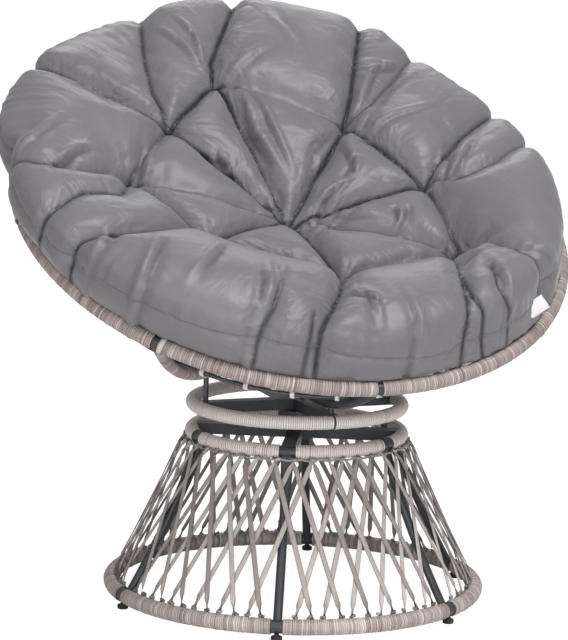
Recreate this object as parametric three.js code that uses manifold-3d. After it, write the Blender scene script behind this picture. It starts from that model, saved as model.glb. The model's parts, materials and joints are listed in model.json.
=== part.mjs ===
import * as THREE from 'three';
import Module from 'manifold-3d';
import { mergeVertices } from 'three/addons/utils/BufferGeometryUtils.js';

// Papasan chair: a round tufted cushion in a tilted bowl of ribs, on a swivel over a flared strip base.
// Millimetres, +Z up, the chair faces -Y, the swivel axis is vertical. Angles are in degrees.

const wasm = await Module();
wasm.setup();

// Clearances shared by every piece
const fitGap = 0.3;
const windingThickness = 1.8;
const cutOverrun = 4;

// Base rings and the legs between them
const bottomRingRadius = 299;
const bottomRingHeight = 21;
const bottomTubeRadius = 10.5;
const topRingRadius = 171.4;
const topRingHeight = 272;
const topTubeRadius = 9;
const legCount = 6;
const firstLegAngle = -115.16;
const legRadius = 7.2;
const legFootInset = 5;
const legBow = 8;
const legFlatHalfWidth = 10;
const legFlatHalfDepth = 5;
const bareLengthAtFoot = 19;
const bareLengthAtTop = 25;
const glideRadius = 8.8;
const glideThickness = 7;
const glideStemRadius = 4;
const glideOutset = 3;

// Flat strips of the base, laid in two crossing families
const stripWidth = 8.6;
const stripThickness = 1.4;
const stripCrossingGap = 0.8;
const stripLayerStep = stripThickness + stripCrossingGap;
const sectorStripCount = 6;
const baseStripStartAngle = 4.8;
const baseStripPitchAngle = 9.1;
const risingTwistAngle = 22.5;
const fallingTwistAngle = 17.3;
const baseBandHeight = 7;
const topBandOutset = 1.8;
const baseStripFootInset = 1.5;

// Swivel between base and seat
const beamWidth = 22;
const seatRingRadius = 170.7;
const seatRise = 47;
const seatTubeRadius = 9;
const seatWindingGap = 3;
const hubRadius = 31;
const hubBoreRadius = 8.4;
const hubShare = 0.5;
const bearingOuterRadius = 25;
const bearingInnerRadius = 15;
const bearingSink = 5;
const boltRadius = 8;
const boltHeadRadius = 13;
const boltHeadHeight = 6;
const boltReach = 12;

// Bowl: rim, ribs on a sphere, hoops and hub
const rimRadius = 451;
const rimTiltAngle = 28.28;
const rimTubeRadius = 10;
const bowlDepth = 241;
const bowlHubInset = 8.7;
const ribClearance = 7.75;
const ribCount = 8;
const ribRadius = 7.2;
const bareLengthAtRib = 16.5;
const hoopRadius = 3.5;
const upperHoopDepth = 44;
const lowerHoopDepth = 86;
const bowlHubRadius = 36;
const bowlHubThickness = 6;
const postRadius = 4.6;
const postInset = 18.7;
const postSink = 2;
const bowlStripCount = 32;
const bowlStripTwistAngle = 34;
const bowlStripInnerRadius = 150;
const bowlStripOuterInset = 21;
const bowlStripSpanCount = 4;
const bowlHoopGap = 1.2;
const bowlBandHeight = 8;

// Cushion
const cushionOverhang = 20;
const cushionShiftX = -22;
const cushionShiftY = 28;
const cushionUndersideRise = 51;
const cushionFlatRadius = 250;
const cushionStripGap = 3;
const cushionCrown = 122;
const cushionCentreHeight = -10;
const cushionTuftHeight = 36;
const cushionTuftRise = 22;
const innerPuff = 38;
const edgeNotch = 6;
const lobeColumnCount = 6;
const labelLength = 32;
const labelWidth = 23;
const labelThickness = 0.8;
const labelAngle = 46;
const labelGap = 0.6;

// Facets round the tubes and along the rings
const tubeSideCount = 8;
const rodSideCount = 6;
const bottomRingStepCount = 30;
const topRingStepCount = 24;
const seatRingStepCount = 24;
const rimStepCount = 32;
const hoopStepCount = 48;
const roundSideCount = 16;
const ribStepCount = 8;
const legSpanCount = 6;

function finish(name, color, roughness, metalness) {
  return new THREE.MeshStandardMaterial({ name, color, roughness, metalness });
}

const materials = {
  rattan: finish('rattan', '#a99d95', 0.6, 0),
  steel: finish('steel', '#2e3136', 0.45, 0.2),
  zinc: finish('zinc', '#8c9096', 0.35, 0.9),
  plastic: finish('plastic', '#1d1e20', 0.6, 0),
  cloth: finish('cloth', '#7c7c80', 0.5, 0),
  label: finish('label', '#f4f4f2', 0.6, 0),
};

const radians = (degrees) => THREE.MathUtils.degToRad(degrees);
const degrees = (angle) => THREE.MathUtils.radToDeg(angle);
const mix = THREE.MathUtils.lerp;

const seatRingHeight = topRingHeight + seatRise;
const postCircle = seatRingRadius - postInset;
const cushionRadius = rimRadius + cushionOverhang;

const chair = new THREE.Group();
const bowl = new THREE.Group();
chair.add(bowl);

function addPiece(group, name, geometry, material) {
  const piece = new THREE.Mesh(geometry, material);
  piece.name = name;
  group.add(piece);
  return piece;
}

// Round the vertical axis: angle 0 is +X, radius and height give the point
function atAngle(radius, angle, height) {
  return new THREE.Vector3(radius * Math.cos(radians(angle)), radius * Math.sin(radians(angle)), height);
}

// Closed surface from points and triangles
function solidFrom(points, triangles) {
  const geometry = new THREE.BufferGeometry();
  const numbers = points.flatMap((point) => [point.x, point.y, point.z]);
  geometry.setAttribute('position', new THREE.Float32BufferAttribute(numbers, 3));
  geometry.setIndex(triangles.flat());
  return geometry;
}

// Exact solids for joining and cutting
function toManifold(geometry, matrix = new THREE.Matrix4()) {
  const plain = geometry.clone().applyMatrix4(matrix);
  plain.deleteAttribute('normal');
  plain.deleteAttribute('uv');
  const merged = mergeVertices(plain, 1e-3);
  const mesh = new wasm.Mesh({
    numProp: 3,
    vertProperties: new Float32Array(merged.attributes.position.array),
    triVerts: new Uint32Array(merged.index.array),
  });
  return new wasm.Manifold(mesh);
}

function fromManifold(manifold) {
  const mesh = manifold.getMesh();
  const geometry = new THREE.BufferGeometry();
  geometry.setAttribute('position', new THREE.BufferAttribute(new Float32Array(mesh.vertProperties), 3));
  geometry.setIndex(new THREE.BufferAttribute(new Uint32Array(mesh.triVerts), 1));
  return geometry;
}

// A full ring of round tube, centred on the vertical axis at a height
function ringTube(radius, tubeRadius, height, steps, sides = tubeSideCount) {
  return new THREE.TorusGeometry(radius, tubeRadius, sides, steps).translate(0, 0, height);
}

// Radius of a faceted ring at an angle, so that sleeves follow the ring's own facets
function facetRadius(radius, steps, angle) {
  const step = 360 / steps;
  const inStep = ((angle % step) + step) % step;
  return (radius * Math.cos(radians(step / 2))) / Math.cos(radians(inStep - step / 2));
}

// Wound sleeve over part of a ring, from one angle to another, as an open tube with a wall
function windingSleeve(radius, tubeRadius, height, steps, from, to) {
  const step = 360 / steps;
  const stations = [from];
  for (let i = Math.floor(from / step) + 1; i * step < to; i += 1) {
    stations.push(i * step);
  }
  stations.push(to);
  const inner = tubeRadius + fitGap;
  const outer = inner + windingThickness;
  const points = [];
  for (const angle of stations) {
    const middle = facetRadius(radius, steps, angle);
    for (const wall of [outer, inner]) {
      for (let side = 0; side < tubeSideCount; side += 1) {
        const turn = radians((360 * side) / tubeSideCount);
        points.push(atAngle(middle + wall * Math.cos(turn), angle, height + wall * Math.sin(turn)));
      }
    }
  }
  const at = (i, wall, side) => i * 2 * tubeSideCount + wall * tubeSideCount + (side % tubeSideCount);
  const triangles = [];
  const last = stations.length - 1;
  for (let side = 0; side < tubeSideCount; side += 1) {
    for (let i = 0; i < last; i += 1) {
      triangles.push([at(i, 0, side), at(i + 1, 0, side), at(i + 1, 0, side + 1)]);
      triangles.push([at(i, 0, side), at(i + 1, 0, side + 1), at(i, 0, side + 1)]);
      triangles.push([at(i, 1, side), at(i + 1, 1, side + 1), at(i + 1, 1, side)]);
      triangles.push([at(i, 1, side), at(i, 1, side + 1), at(i + 1, 1, side + 1)]);
    }
    triangles.push([at(0, 0, side), at(0, 0, side + 1), at(0, 1, side + 1)]);
    triangles.push([at(0, 0, side), at(0, 1, side + 1), at(0, 1, side)]);
    triangles.push([at(last, 0, side), at(last, 1, side + 1), at(last, 0, side + 1)]);
    triangles.push([at(last, 0, side), at(last, 1, side), at(last, 1, side + 1)]);
  }
  return solidFrom(points, triangles);
}

// Angle that a length covers on a ring
const arcAngle = (length, radius) => degrees(length / radius);

// Base: two rings, six bowed legs flattened at the top, and a glide under each leg

const legAngle = (i) => firstLegAngle + (360 * i) / legCount;

function legGeometry(angle) {
  const along = atAngle(1, angle + 90, 0);
  const outward = atAngle(1, angle, 0);
  const points = [];
  for (let i = 0; i <= legSpanCount; i += 1) {
    const share = i / legSpanCount;
    const bow = 4 * legBow * share * (1 - share);
    const radius = mix(bottomRingRadius - legFootInset, topRingRadius, share) - bow;
    const centre = atAngle(radius, angle, mix(bottomRingHeight, topRingHeight, share));
    const flat = THREE.MathUtils.smoothstep(share, 0.55, 1);
    for (let side = 0; side < tubeSideCount; side += 1) {
      const turn = radians((360 * (side + 0.5)) / tubeSideCount);
      const across = mix(legRadius, legFlatHalfWidth, flat) * Math.cos(turn);
      const deep = mix(legRadius, legFlatHalfDepth, flat) * Math.sin(turn);
      points.push(centre.clone().addScaledVector(along, across).addScaledVector(outward, deep));
    }
  }
  const triangles = [];
  for (let i = 0; i < legSpanCount; i += 1) {
    for (let side = 0; side < tubeSideCount; side += 1) {
      const a = i * tubeSideCount + side;
      const b = i * tubeSideCount + ((side + 1) % tubeSideCount);
      triangles.push([a, a + tubeSideCount, b], [b, a + tubeSideCount, b + tubeSideCount]);
    }
  }
  const last = legSpanCount * tubeSideCount;
  for (let side = 1; side < tubeSideCount - 1; side += 1) {
    triangles.push([0, side, side + 1]);
    triangles.push([last, last + side + 1, last + side]);
  }
  return solidFrom(points, triangles);
}

// Both base rings as solids, or the room they need, by the distance kept round their tubes
function bottomRing(around) {
  return ringTube(bottomRingRadius, bottomTubeRadius + around, bottomRingHeight, bottomRingStepCount);
}

function topRing(around) {
  return ringTube(topRingRadius, topTubeRadius + around, topRingHeight, topRingStepCount);
}

function buildBase() {
  addPiece(chair, 'base_bottom_ring', bottomRing(0), materials.steel);
  addPiece(chair, 'base_top_ring', topRing(0), materials.steel);

  const rings = toManifold(bottomRing(fitGap)).add(toManifold(topRing(fitGap)));
  const glideTop = bottomRingHeight - bottomTubeRadius - fitGap;
  const glide = new THREE.LatheGeometry([
    new THREE.Vector2(0, 0),
    new THREE.Vector2(glideRadius, 0),
    new THREE.Vector2(glideRadius, glideThickness),
    new THREE.Vector2(glideStemRadius, glideThickness),
    new THREE.Vector2(glideStemRadius, glideTop),
    new THREE.Vector2(0, glideTop),
  ], roundSideCount / 2).rotateX(radians(90));
  const bareAtFoot = arcAngle(bareLengthAtFoot, bottomRingRadius) / 2;
  const bareAtTop = arcAngle(bareLengthAtTop, topRingRadius) / 2;

  for (let i = 0; i < legCount; i += 1) {
    const number = i + 1;
    const leg = toManifold(legGeometry(legAngle(i))).subtract(rings);
    addPiece(chair, `base_leg_${number}`, fromManifold(leg), materials.steel);
    const foot = addPiece(chair, `base_glide_${number}`, glide, materials.plastic);
    foot.position.copy(atAngle(bottomRingRadius + glideOutset, legAngle(i), 0));
    foot.rotation.z = radians(legAngle(i));
    addPiece(chair, `bottom_ring_winding_${number}`,
      windingSleeve(bottomRingRadius, bottomTubeRadius, bottomRingHeight, bottomRingStepCount,
        legAngle(i) + bareAtFoot, legAngle(i + 1) - bareAtFoot), materials.rattan);
    addPiece(chair, `top_ring_winding_${number}`,
      windingSleeve(topRingRadius, topTubeRadius, topRingHeight, topRingStepCount,
        legAngle(i) + bareAtTop, legAngle(i + 1) - bareAtTop), materials.rattan);
  }
}

// Strips: one family is a band with strips that run from it, all one net.
// Rows go from the band's free edge to the strips' ends: radius, height, and the outward normal's parts.
function stripNet(rows, startAngles, twist, width, outwardStep) {
  const strips = startAngles.length;
  const corner = (row, angle, edge, face) => {
    const lift = outwardStep + (face * stripThickness) / 2;
    const radius = row.radius + lift * row.normalOut;
    const half = degrees(width / 2 / row.radius);
    return atAngle(radius, angle + edge * half, row.height + lift * row.normalUp);
  };
  const points = [];
  const triangles = [];
  const quad = (a, b, c, d) => triangles.push([a, b, c], [a, c, d]);
  const flip = rows[0].height > rows[rows.length - 1].height ? 1 : -1;
  // Points: strip, row, edge (0 low angle, 1 high angle), face (0 outer, 1 inner)
  const at = (strip, row, edge, face) => (((strip % strips) * rows.length + row) * 2 + edge) * 2 + face;
  for (let strip = 0; strip < strips; strip += 1) {
    rows.forEach((row, index) => {
      const share = Math.max(0, index - 1) / (rows.length - 2);
      const angle = startAngles[strip] + twist * share;
      for (const edge of [-1, 1]) {
        for (const face of [1, -1]) {
          points.push(corner(row, angle, edge, face));
        }
      }
    });
  }
  const side = (a, b, c, d) => (flip > 0 ? quad(a, b, c, d) : quad(d, c, b, a));
  for (let strip = 0; strip < strips; strip += 1) {
    const next = strip + 1;
    for (const [s0, e0, s1, e1] of [[strip, 0, strip, 1], [strip, 1, next, 0]]) {
      side(at(s0, 1, e0, 0), at(s1, 1, e1, 0), at(s1, 0, e1, 0), at(s0, 0, e0, 0));
      side(at(s0, 0, e0, 1), at(s1, 0, e1, 1), at(s1, 1, e1, 1), at(s0, 1, e0, 1));
      side(at(s0, 0, e0, 0), at(s1, 0, e1, 0), at(s1, 0, e1, 1), at(s0, 0, e0, 1));
    }
    side(at(strip, 1, 1, 1), at(next, 1, 0, 1), at(next, 1, 0, 0), at(strip, 1, 1, 0));
    for (let row = 1; row < rows.length - 1; row += 1) {
      side(at(strip, row + 1, 0, 0), at(strip, row + 1, 1, 0), at(strip, row, 1, 0), at(strip, row, 0, 0));
      side(at(strip, row, 0, 1), at(strip, row, 1, 1), at(strip, row + 1, 1, 1), at(strip, row + 1, 0, 1));
      side(at(strip, row, 0, 0), at(strip, row, 0, 1), at(strip, row + 1, 0, 1), at(strip, row + 1, 0, 0));
      side(at(strip, row + 1, 1, 0), at(strip, row + 1, 1, 1), at(strip, row, 1, 1), at(strip, row, 1, 0));
    }
    const end = rows.length - 1;
    side(at(strip, end, 0, 1), at(strip, end, 1, 1), at(strip, end, 1, 0), at(strip, end, 0, 0));
  }
  return solidFrom(points, triangles);
}

function buildBaseStrips() {
  const bottomWound = bottomTubeRadius + fitGap + windingThickness;
  const topWound = topTubeRadius + fitGap + windingThickness;
  const footRadius = bottomRingRadius - baseStripFootInset;
  const footHeight = bottomRingHeight + bottomWound + fitGap;
  const headRadius = topRingRadius + topWound + fitGap + stripThickness / 2;
  const slope = Math.atan2(footRadius - headRadius, topRingHeight - footHeight);
  const normal = { normalOut: Math.cos(slope), normalUp: Math.sin(slope) };
  const rowAt = (height) => {
    const share = (height - footHeight) / (topRingHeight - footHeight);
    return { radius: mix(footRadius, headRadius, share), height, ...normal };
  };
  const width = stripWidth / Math.cos(radians((risingTwistAngle + fallingTwistAngle) / 2));
  const rising = [];
  const falling = [];
  for (let sector = 0; sector < legCount; sector += 1) {
    for (let k = 0; k < sectorStripCount; k += 1) {
      const offset = baseStripStartAngle + k * baseStripPitchAngle;
      rising.push(legAngle(sector) + offset);
      falling.push(legAngle(sector + 1) - offset - fallingTwistAngle);
    }
  }
  falling.sort((a, b) => a - b);
  // The rising family hangs on a band along the bottom ring, the falling one on a band round the top ring
  const bottomRows = [rowAt(footHeight), rowAt(footHeight + baseBandHeight), rowAt(topRingHeight)];
  const risingNet = stripNet(bottomRows, rising, risingTwistAngle, width, 0);
  addPiece(chair, 'base_strips_rising', risingNet, materials.rattan);
  const topRows = [
    { ...normal, radius: headRadius + topBandOutset, height: topRingHeight + baseBandHeight / 2 },
    { ...normal, radius: headRadius + topBandOutset, height: topRingHeight - baseBandHeight / 2 },
    rowAt(footHeight + stripThickness),
  ];
  const fallingNet = stripNet(topRows, falling, fallingTwistAngle, width, stripLayerStep);
  addPiece(chair, 'base_strips_falling', fallingNet, materials.rattan);
}

// Swivel: crossed beams below and above, and the hub between them

const seatBeamBottom = seatRingHeight - seatTubeRadius;
const seatBeamTop = seatRingHeight + seatTubeRadius;
const baseBeamTop = topRingHeight + topTubeRadius;

function beamSolid(length, height, centreHeight, angle) {
  const beam = new THREE.BoxGeometry(length, beamWidth, height);
  return toManifold(beam.rotateZ(radians(angle)).translate(0, 0, centreHeight));
}

function boreSolid(radius, bottom, top) {
  const bore = new THREE.CylinderGeometry(radius, radius, top - bottom + 2 * cutOverrun, roundSideCount);
  return toManifold(bore.rotateX(radians(90)).translate(0, 0, (top + bottom) / 2));
}

function latheUp(profile) {
  const outline = profile.map(([radius, height]) => new THREE.Vector2(radius, height));
  return new THREE.LatheGeometry([...outline, outline[0]], roundSideCount).rotateX(radians(90));
}

function buildBaseCross() {
  const bore = boreSolid(hubBoreRadius, topRingHeight - topTubeRadius, baseBeamTop);
  const welded = toManifold(topRing(fitGap));
  const wound = toManifold(topRing(windingThickness + 2 * fitGap));
  const length = 2 * topRingRadius - topTubeRadius;
  const long = beamSolid(length, 2 * topTubeRadius, topRingHeight, firstLegAngle).subtract(welded);
  const cross = beamSolid(length, 2 * topTubeRadius, topRingHeight, firstLegAngle + 90).subtract(wound);
  addPiece(chair, 'base_cross', fromManifold(long.add(cross).subtract(bore)), materials.steel);
}

function buildSwivel() {
  const bottom = baseBeamTop + fitGap;
  const top = seatBeamBottom - fitGap;
  const split = mix(bottom, top, hubShare);
  const lowerTop = split - fitGap / 2;
  const upperBottom = split + fitGap / 2;
  // The recess clears the bearing's corners while the seat turns
  const facetShare = Math.cos(radians(180 / roundSideCount));
  const recess = [(bearingInnerRadius - fitGap) * facetShare, (bearingOuterRadius + fitGap) / facetShare];
  addPiece(chair, 'swivel_lower_hub', latheUp([
    [hubBoreRadius, bottom], [hubRadius, bottom], [hubRadius, lowerTop], [recess[1], lowerTop],
    [recess[1], lowerTop - bearingSink], [recess[0], lowerTop - bearingSink], [recess[0], lowerTop],
    [hubBoreRadius, lowerTop],
  ]), materials.steel);
  addPiece(chair, 'swivel_upper_hub', latheUp([
    [hubBoreRadius, upperBottom], [recess[0], upperBottom], [recess[0], upperBottom + bearingSink],
    [recess[1], upperBottom + bearingSink], [recess[1], upperBottom], [hubRadius, upperBottom],
    [hubRadius, top], [hubBoreRadius, top],
  ]), materials.steel);
  const raceBottom = lowerTop - bearingSink + fitGap;
  const raceTop = upperBottom + bearingSink - fitGap;
  addPiece(chair, 'swivel_bearing', latheUp([
    [bearingInnerRadius, raceBottom], [bearingOuterRadius, raceBottom],
    [bearingOuterRadius, raceTop], [bearingInnerRadius, raceTop],
  ]), materials.zinc);
  const headBottom = seatBeamTop + fitGap;
  const boltEnd = topRingHeight - topTubeRadius - boltReach;
  const headTop = headBottom + boltHeadHeight;
  const bolt = new THREE.LatheGeometry([
    new THREE.Vector2(0, boltEnd),
    new THREE.Vector2(boltRadius, boltEnd),
    new THREE.Vector2(boltRadius, headBottom),
    new THREE.Vector2(boltHeadRadius, headBottom),
    new THREE.Vector2(boltHeadRadius, headTop),
    new THREE.Vector2(0, headTop),
  ], roundSideCount).rotateX(radians(90));
  addPiece(chair, 'swivel_bolt', bolt, materials.zinc);
}

// Bowl geometry: a sphere through the rim's centreline, in the rim's own frame with +Z out of the bowl

const bowlSphere = (rimRadius ** 2 + bowlDepth ** 2) / (2 * bowlDepth);
const bowlCentre = bowlSphere - bowlDepth;
const rimPolar = Math.asin(rimRadius / bowlSphere);
const rimInside = rimRadius - rimTubeRadius - windingThickness - fitGap;
const cushionUndersideDepth = bowlDepth - cushionUndersideRise;

// Point of a sphere about the bowl's centre: polar angle from the bottom, and angle round the rim
function onBowl(sphere, polar, angle) {
  return atAngle(sphere * Math.sin(polar), angle, bowlCentre - sphere * Math.cos(polar));
}

// Hoops lie inside the ribs, the two families of strips inside the hoops, the cushion inside all of them
const hoopSphere = bowlSphere - ribRadius - fitGap - hoopRadius;
const outerStripSphere = hoopSphere - hoopRadius - bowlHoopGap - stripThickness / 2;
const innerStripSphere = outerStripSphere - stripThickness - stripCrossingGap;
const cushionSphere = innerStripSphere - stripThickness / 2 - cushionStripGap;
const ribAngle = (i) => -90 + (360 * i) / ribCount;

// Where a rib passes over a line across the seat, found by halving between the rim and the hub
function ribOverLine(angle, y) {
  let near = rimPolar;
  let far = 0;
  for (let i = 0; i < 40; i += 1) {
    const middle = (near + far) / 2;
    if (onBowl(bowlSphere, middle, angle).applyMatrix4(bowl.matrixWorld).y < y) {
      near = middle;
    } else {
      far = middle;
    }
  }
  return onBowl(bowlSphere, near, angle).applyMatrix4(bowl.matrixWorld);
}

class RibCurve extends THREE.Curve {
  constructor(angle, fromPolar, toPolar) {
    super();
    this.angle = angle;
    this.fromPolar = fromPolar;
    this.toPolar = toPolar;
  }

  getPoint(share, target = new THREE.Vector3()) {
    return target.copy(onBowl(bowlSphere, mix(this.fromPolar, this.toPolar, share), this.angle));
  }
}

function roundSection(radius, sides) {
  const section = new THREE.Shape();
  for (let side = 0; side < sides; side += 1) {
    const turn = radians((360 * (side + 0.5)) / sides);
    const step = side === 0 ? 'moveTo' : 'lineTo';
    section[step](radius * Math.cos(turn), radius * Math.sin(turn));
  }
  section.closePath();
  return section;
}

function ribGeometry(angle, radius) {
  const hubPolar = (bowlHubRadius + fitGap) / bowlSphere;
  const curve = new RibCurve(angle, rimPolar, hubPolar);
  return new THREE.ExtrudeGeometry(roundSection(radius, tubeSideCount), {
    steps: ribStepCount,
    extrudePath: curve,
    bevelEnabled: false,
  });
}

function hoopGeometry(depth, radius) {
  const polar = Math.acos((bowlCentre + depth) / hoopSphere);
  return ringTube(hoopSphere * Math.sin(polar), radius, -depth, hoopStepCount, rodSideCount);
}

// The round plate where the ribs meet, or the room it needs with some distance kept round it
function bowlHub(around) {
  const radius = bowlHubRadius - ribRadius + around;
  const plate = new THREE.CylinderGeometry(radius, radius, bowlHubThickness + 2 * around, roundSideCount);
  return plate.rotateX(radians(90)).translate(0, 0, -bowlDepth);
}

function buildBowlFrame() {
  addPiece(bowl, 'rim_tube', ringTube(rimRadius, rimTubeRadius, 0, rimStepCount), materials.steel);
  const bare = arcAngle(bareLengthAtRib, rimRadius) / 2;
  const cutter = toManifold(ringTube(rimRadius, rimTubeRadius + fitGap, 0, rimStepCount));
  for (let i = 0; i < ribCount; i += 1) {
    const rib = toManifold(ribGeometry(ribAngle(i), ribRadius)).subtract(cutter);
    addPiece(bowl, `bowl_rib_${i + 1}`, fromManifold(rib), materials.steel);
    addPiece(bowl, `rim_winding_${i + 1}`,
      windingSleeve(rimRadius, rimTubeRadius, 0, rimStepCount, ribAngle(i) + bare, ribAngle(i + 1) - bare),
      materials.rattan);
  }
  addPiece(bowl, 'bowl_hoop_upper', hoopGeometry(upperHoopDepth, hoopRadius), materials.steel);
  addPiece(bowl, 'bowl_hoop_lower', hoopGeometry(lowerHoopDepth, hoopRadius), materials.steel);
  addPiece(bowl, 'bowl_hub', bowlHub(0), materials.steel);
}

// The bowl's hub stands over the back of the seat ring. The front rib, which hangs lowest, clears the seat
// ring's winding, the bolt's head and the beams at its own lowest point.
bowl.rotation.x = radians(rimTiltAngle);
bowl.position.y = seatRingRadius - bowlHubInset - bowlDepth * Math.sin(bowl.rotation.x);
chair.updateMatrixWorld(true);
const seatWoundTop = seatRingHeight + seatTubeRadius + windingThickness + fitGap;
const boltHeadTop = seatBeamTop + fitGap + boltHeadHeight;
const lowestRibPoint = onBowl(bowlSphere, bowl.rotation.x, ribAngle(0)).applyMatrix4(bowl.matrixWorld);
bowl.position.z = ribClearance + ribRadius + Math.max(
  seatWoundTop - ribOverLine(ribAngle(0), -seatRingRadius).z,
  boltHeadTop - ribOverLine(ribAngle(0), -boltHeadRadius).z,
  seatBeamTop - lowestRibPoint.z,
);
chair.updateMatrixWorld(true);

// Strips of the bowl: both families run from just below the rim to a band round the bottom
function buildBowlStrips() {
  const family = (sphere, fromRim) => {
    const top = Math.asin((rimInside - bowlStripOuterInset) / sphere);
    const bottom = Math.asin(bowlStripInnerRadius / sphere);
    const band = bowlBandHeight / sphere;
    const spans = Array.from({ length: bowlStripSpanCount + 1 }, (_, i) => i / bowlStripSpanCount);
    const polars = fromRim
      ? [top, ...spans.map((share) => mix(top - band, bottom, share))]
      : [bottom, ...spans.map((share) => mix(bottom + band, top, share))];
    return polars.map((polar) => ({
      radius: sphere * Math.sin(polar),
      height: bowlCentre - sphere * Math.cos(polar),
      normalOut: Math.sin(polar),
      normalUp: -Math.cos(polar),
    }));
  };
  const first = ribAngle(0);
  const angles = Array.from({ length: bowlStripCount }, (_, k) => first + (360 * (k + 0.5)) / bowlStripCount);
  const outer = stripNet(family(outerStripSphere, false), angles, bowlStripTwistAngle, stripWidth, 0);
  const inner = stripNet(family(innerStripSphere, true), angles, bowlStripTwistAngle, stripWidth, 0);
  addPiece(bowl, 'bowl_strips_outer', outer, materials.rattan);
  addPiece(bowl, 'bowl_strips_inner', inner, materials.rattan);
}

// Seat frame: a wound ring, crossed beams inside it, and four posts that carry the ribs

function seatRing(around) {
  return ringTube(seatRingRadius, seatTubeRadius + around, seatRingHeight, seatRingStepCount);
}

function buildSeatFrame() {
  addPiece(chair, 'seat_ring', seatRing(0), materials.steel);
  const gapAngle = arcAngle(seatWindingGap, seatRingRadius) / 2;
  const winding = windingSleeve(seatRingRadius, seatTubeRadius, seatRingHeight, seatRingStepCount,
    90 + gapAngle, 450 - gapAngle);
  addPiece(chair, 'seat_ring_winding', winding, materials.rattan);

  const wound = toManifold(seatRing(windingThickness + 2 * fitGap));
  const length = 2 * seatRingRadius - seatTubeRadius;
  let frame = beamSolid(length, 2 * seatTubeRadius, seatRingHeight, 0)
    .add(beamSolid(length, 2 * seatTubeRadius, seatRingHeight, 90))
    .subtract(boreSolid(hubBoreRadius, seatBeamBottom, seatBeamTop));
  const hubPoint = new THREE.Vector3(0, 0, -bowlDepth).applyMatrix4(bowl.matrixWorld);
  const backDrop = (hubPoint.y - postCircle) * Math.tan(radians(rimTiltAngle));
  const places = [
    ribOverLine(ribAngle(0), -postCircle),
    ribOverLine(ribAngle(1), 0),
    ribOverLine(ribAngle(ribCount - 1), 0),
    new THREE.Vector3(0, postCircle, hubPoint.z - backDrop),
  ];
  let above = toManifold(bowlHub(fitGap), bowl.matrixWorld);
  for (let i = 0; i < ribCount; i += 1) {
    above = above.add(toManifold(ribGeometry(ribAngle(i), ribRadius + fitGap), bowl.matrixWorld));
  }
  for (const place of places) {
    const foot = seatBeamTop - postSink;
    const post = new THREE.CylinderGeometry(postRadius, postRadius, place.z - foot, tubeSideCount)
      .rotateX(radians(90)).translate(place.x, place.y, (place.z + foot) / 2);
    frame = frame.add(toManifold(post).subtract(above));
  }
  frame = frame.subtract(wound);
  addPiece(chair, 'seat_cross', fromManifold(frame), materials.steel);
}

// Cushion: lobes between eight tufts round a middle tuft, a crown near the edge and drawn-in sides.
// Tufts go round from the front; each has its angle and its distance as a share of the cushion's radius.

const tuftAngles = [2.7, 54.7, 92.5, 140.3, 192.7, 225.3, 262.2, 300.3];
const tuftRadiusShares = [0.453, 0.602, 0.48, 0.451, 0.594, 0.509, 0.589, 0.438];
// Each lobe's own fullness, from one tuft to the next: crown height and reach as shares of the cushion's
const lobeCrownShares = [1, 1, 0.84, 1.07, 0.8, 0.87, 0.98, 1];
const lobeReachShares = [1, 0.985, 0.99, 1.03, 1.015, 0.995, 0.985, 1];
const notchCrownShare = 0.95;
// Reach of the side at each tuft, and the tuft's height over the mean one as a share of the tuft rise
const tuftReachShares = [1, 1, 0.985, 1.05, 1, 1, 0.965, 1];
const tuftRiseShares = [-0.86, -0.64, 0.05, 0.68, 1.4, 0.45, -0.14, -1.1];

function cushionColumns() {
  const lobes = tuftAngles.length;
  const columns = [];
  for (let lobe = 0; lobe < lobes; lobe += 1) {
    const nextAngle = tuftAngles[(lobe + 1) % lobes] + (lobe + 1 === lobes ? 360 : 0);
    const nextShare = tuftRadiusShares[(lobe + 1) % lobes];
    const nextReach = tuftReachShares[(lobe + 1) % lobes];
    const nextRise = tuftRiseShares[(lobe + 1) % lobes];
    for (let i = 0; i < lobeColumnCount; i += 1) {
      const across = i / lobeColumnCount;
      const puff = Math.sin(Math.PI * across) ** 0.7;
      const tuftReach = mix(tuftReachShares[lobe], nextReach, across);
      columns.push({
        angle: mix(tuftAngles[lobe], nextAngle, across) - 90,
        tuftRadius: cushionRadius * mix(tuftRadiusShares[lobe], nextShare, across),
        tuftHeight: cushionTuftHeight + cushionTuftRise * mix(tuftRiseShares[lobe], nextRise, across),
        puff,
        crown: cushionCrown * mix(notchCrownShare, lobeCrownShares[lobe], puff),
        reach: cushionRadius * mix(tuftReach, lobeReachShares[lobe], puff) - edgeNotch * (1 - puff),
      });
    }
  }
  return columns;
}

function cushionUnderside(radius) {
  const onSphere = (r) => bowlCentre - Math.sqrt(cushionSphere ** 2 - r ** 2);
  if (radius < cushionFlatRadius) {
    const share = radius / cushionFlatRadius;
    return mix(-cushionUndersideDepth, onSphere(cushionFlatRadius), share ** 2);
  }
  return onSphere(radius);
}

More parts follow.
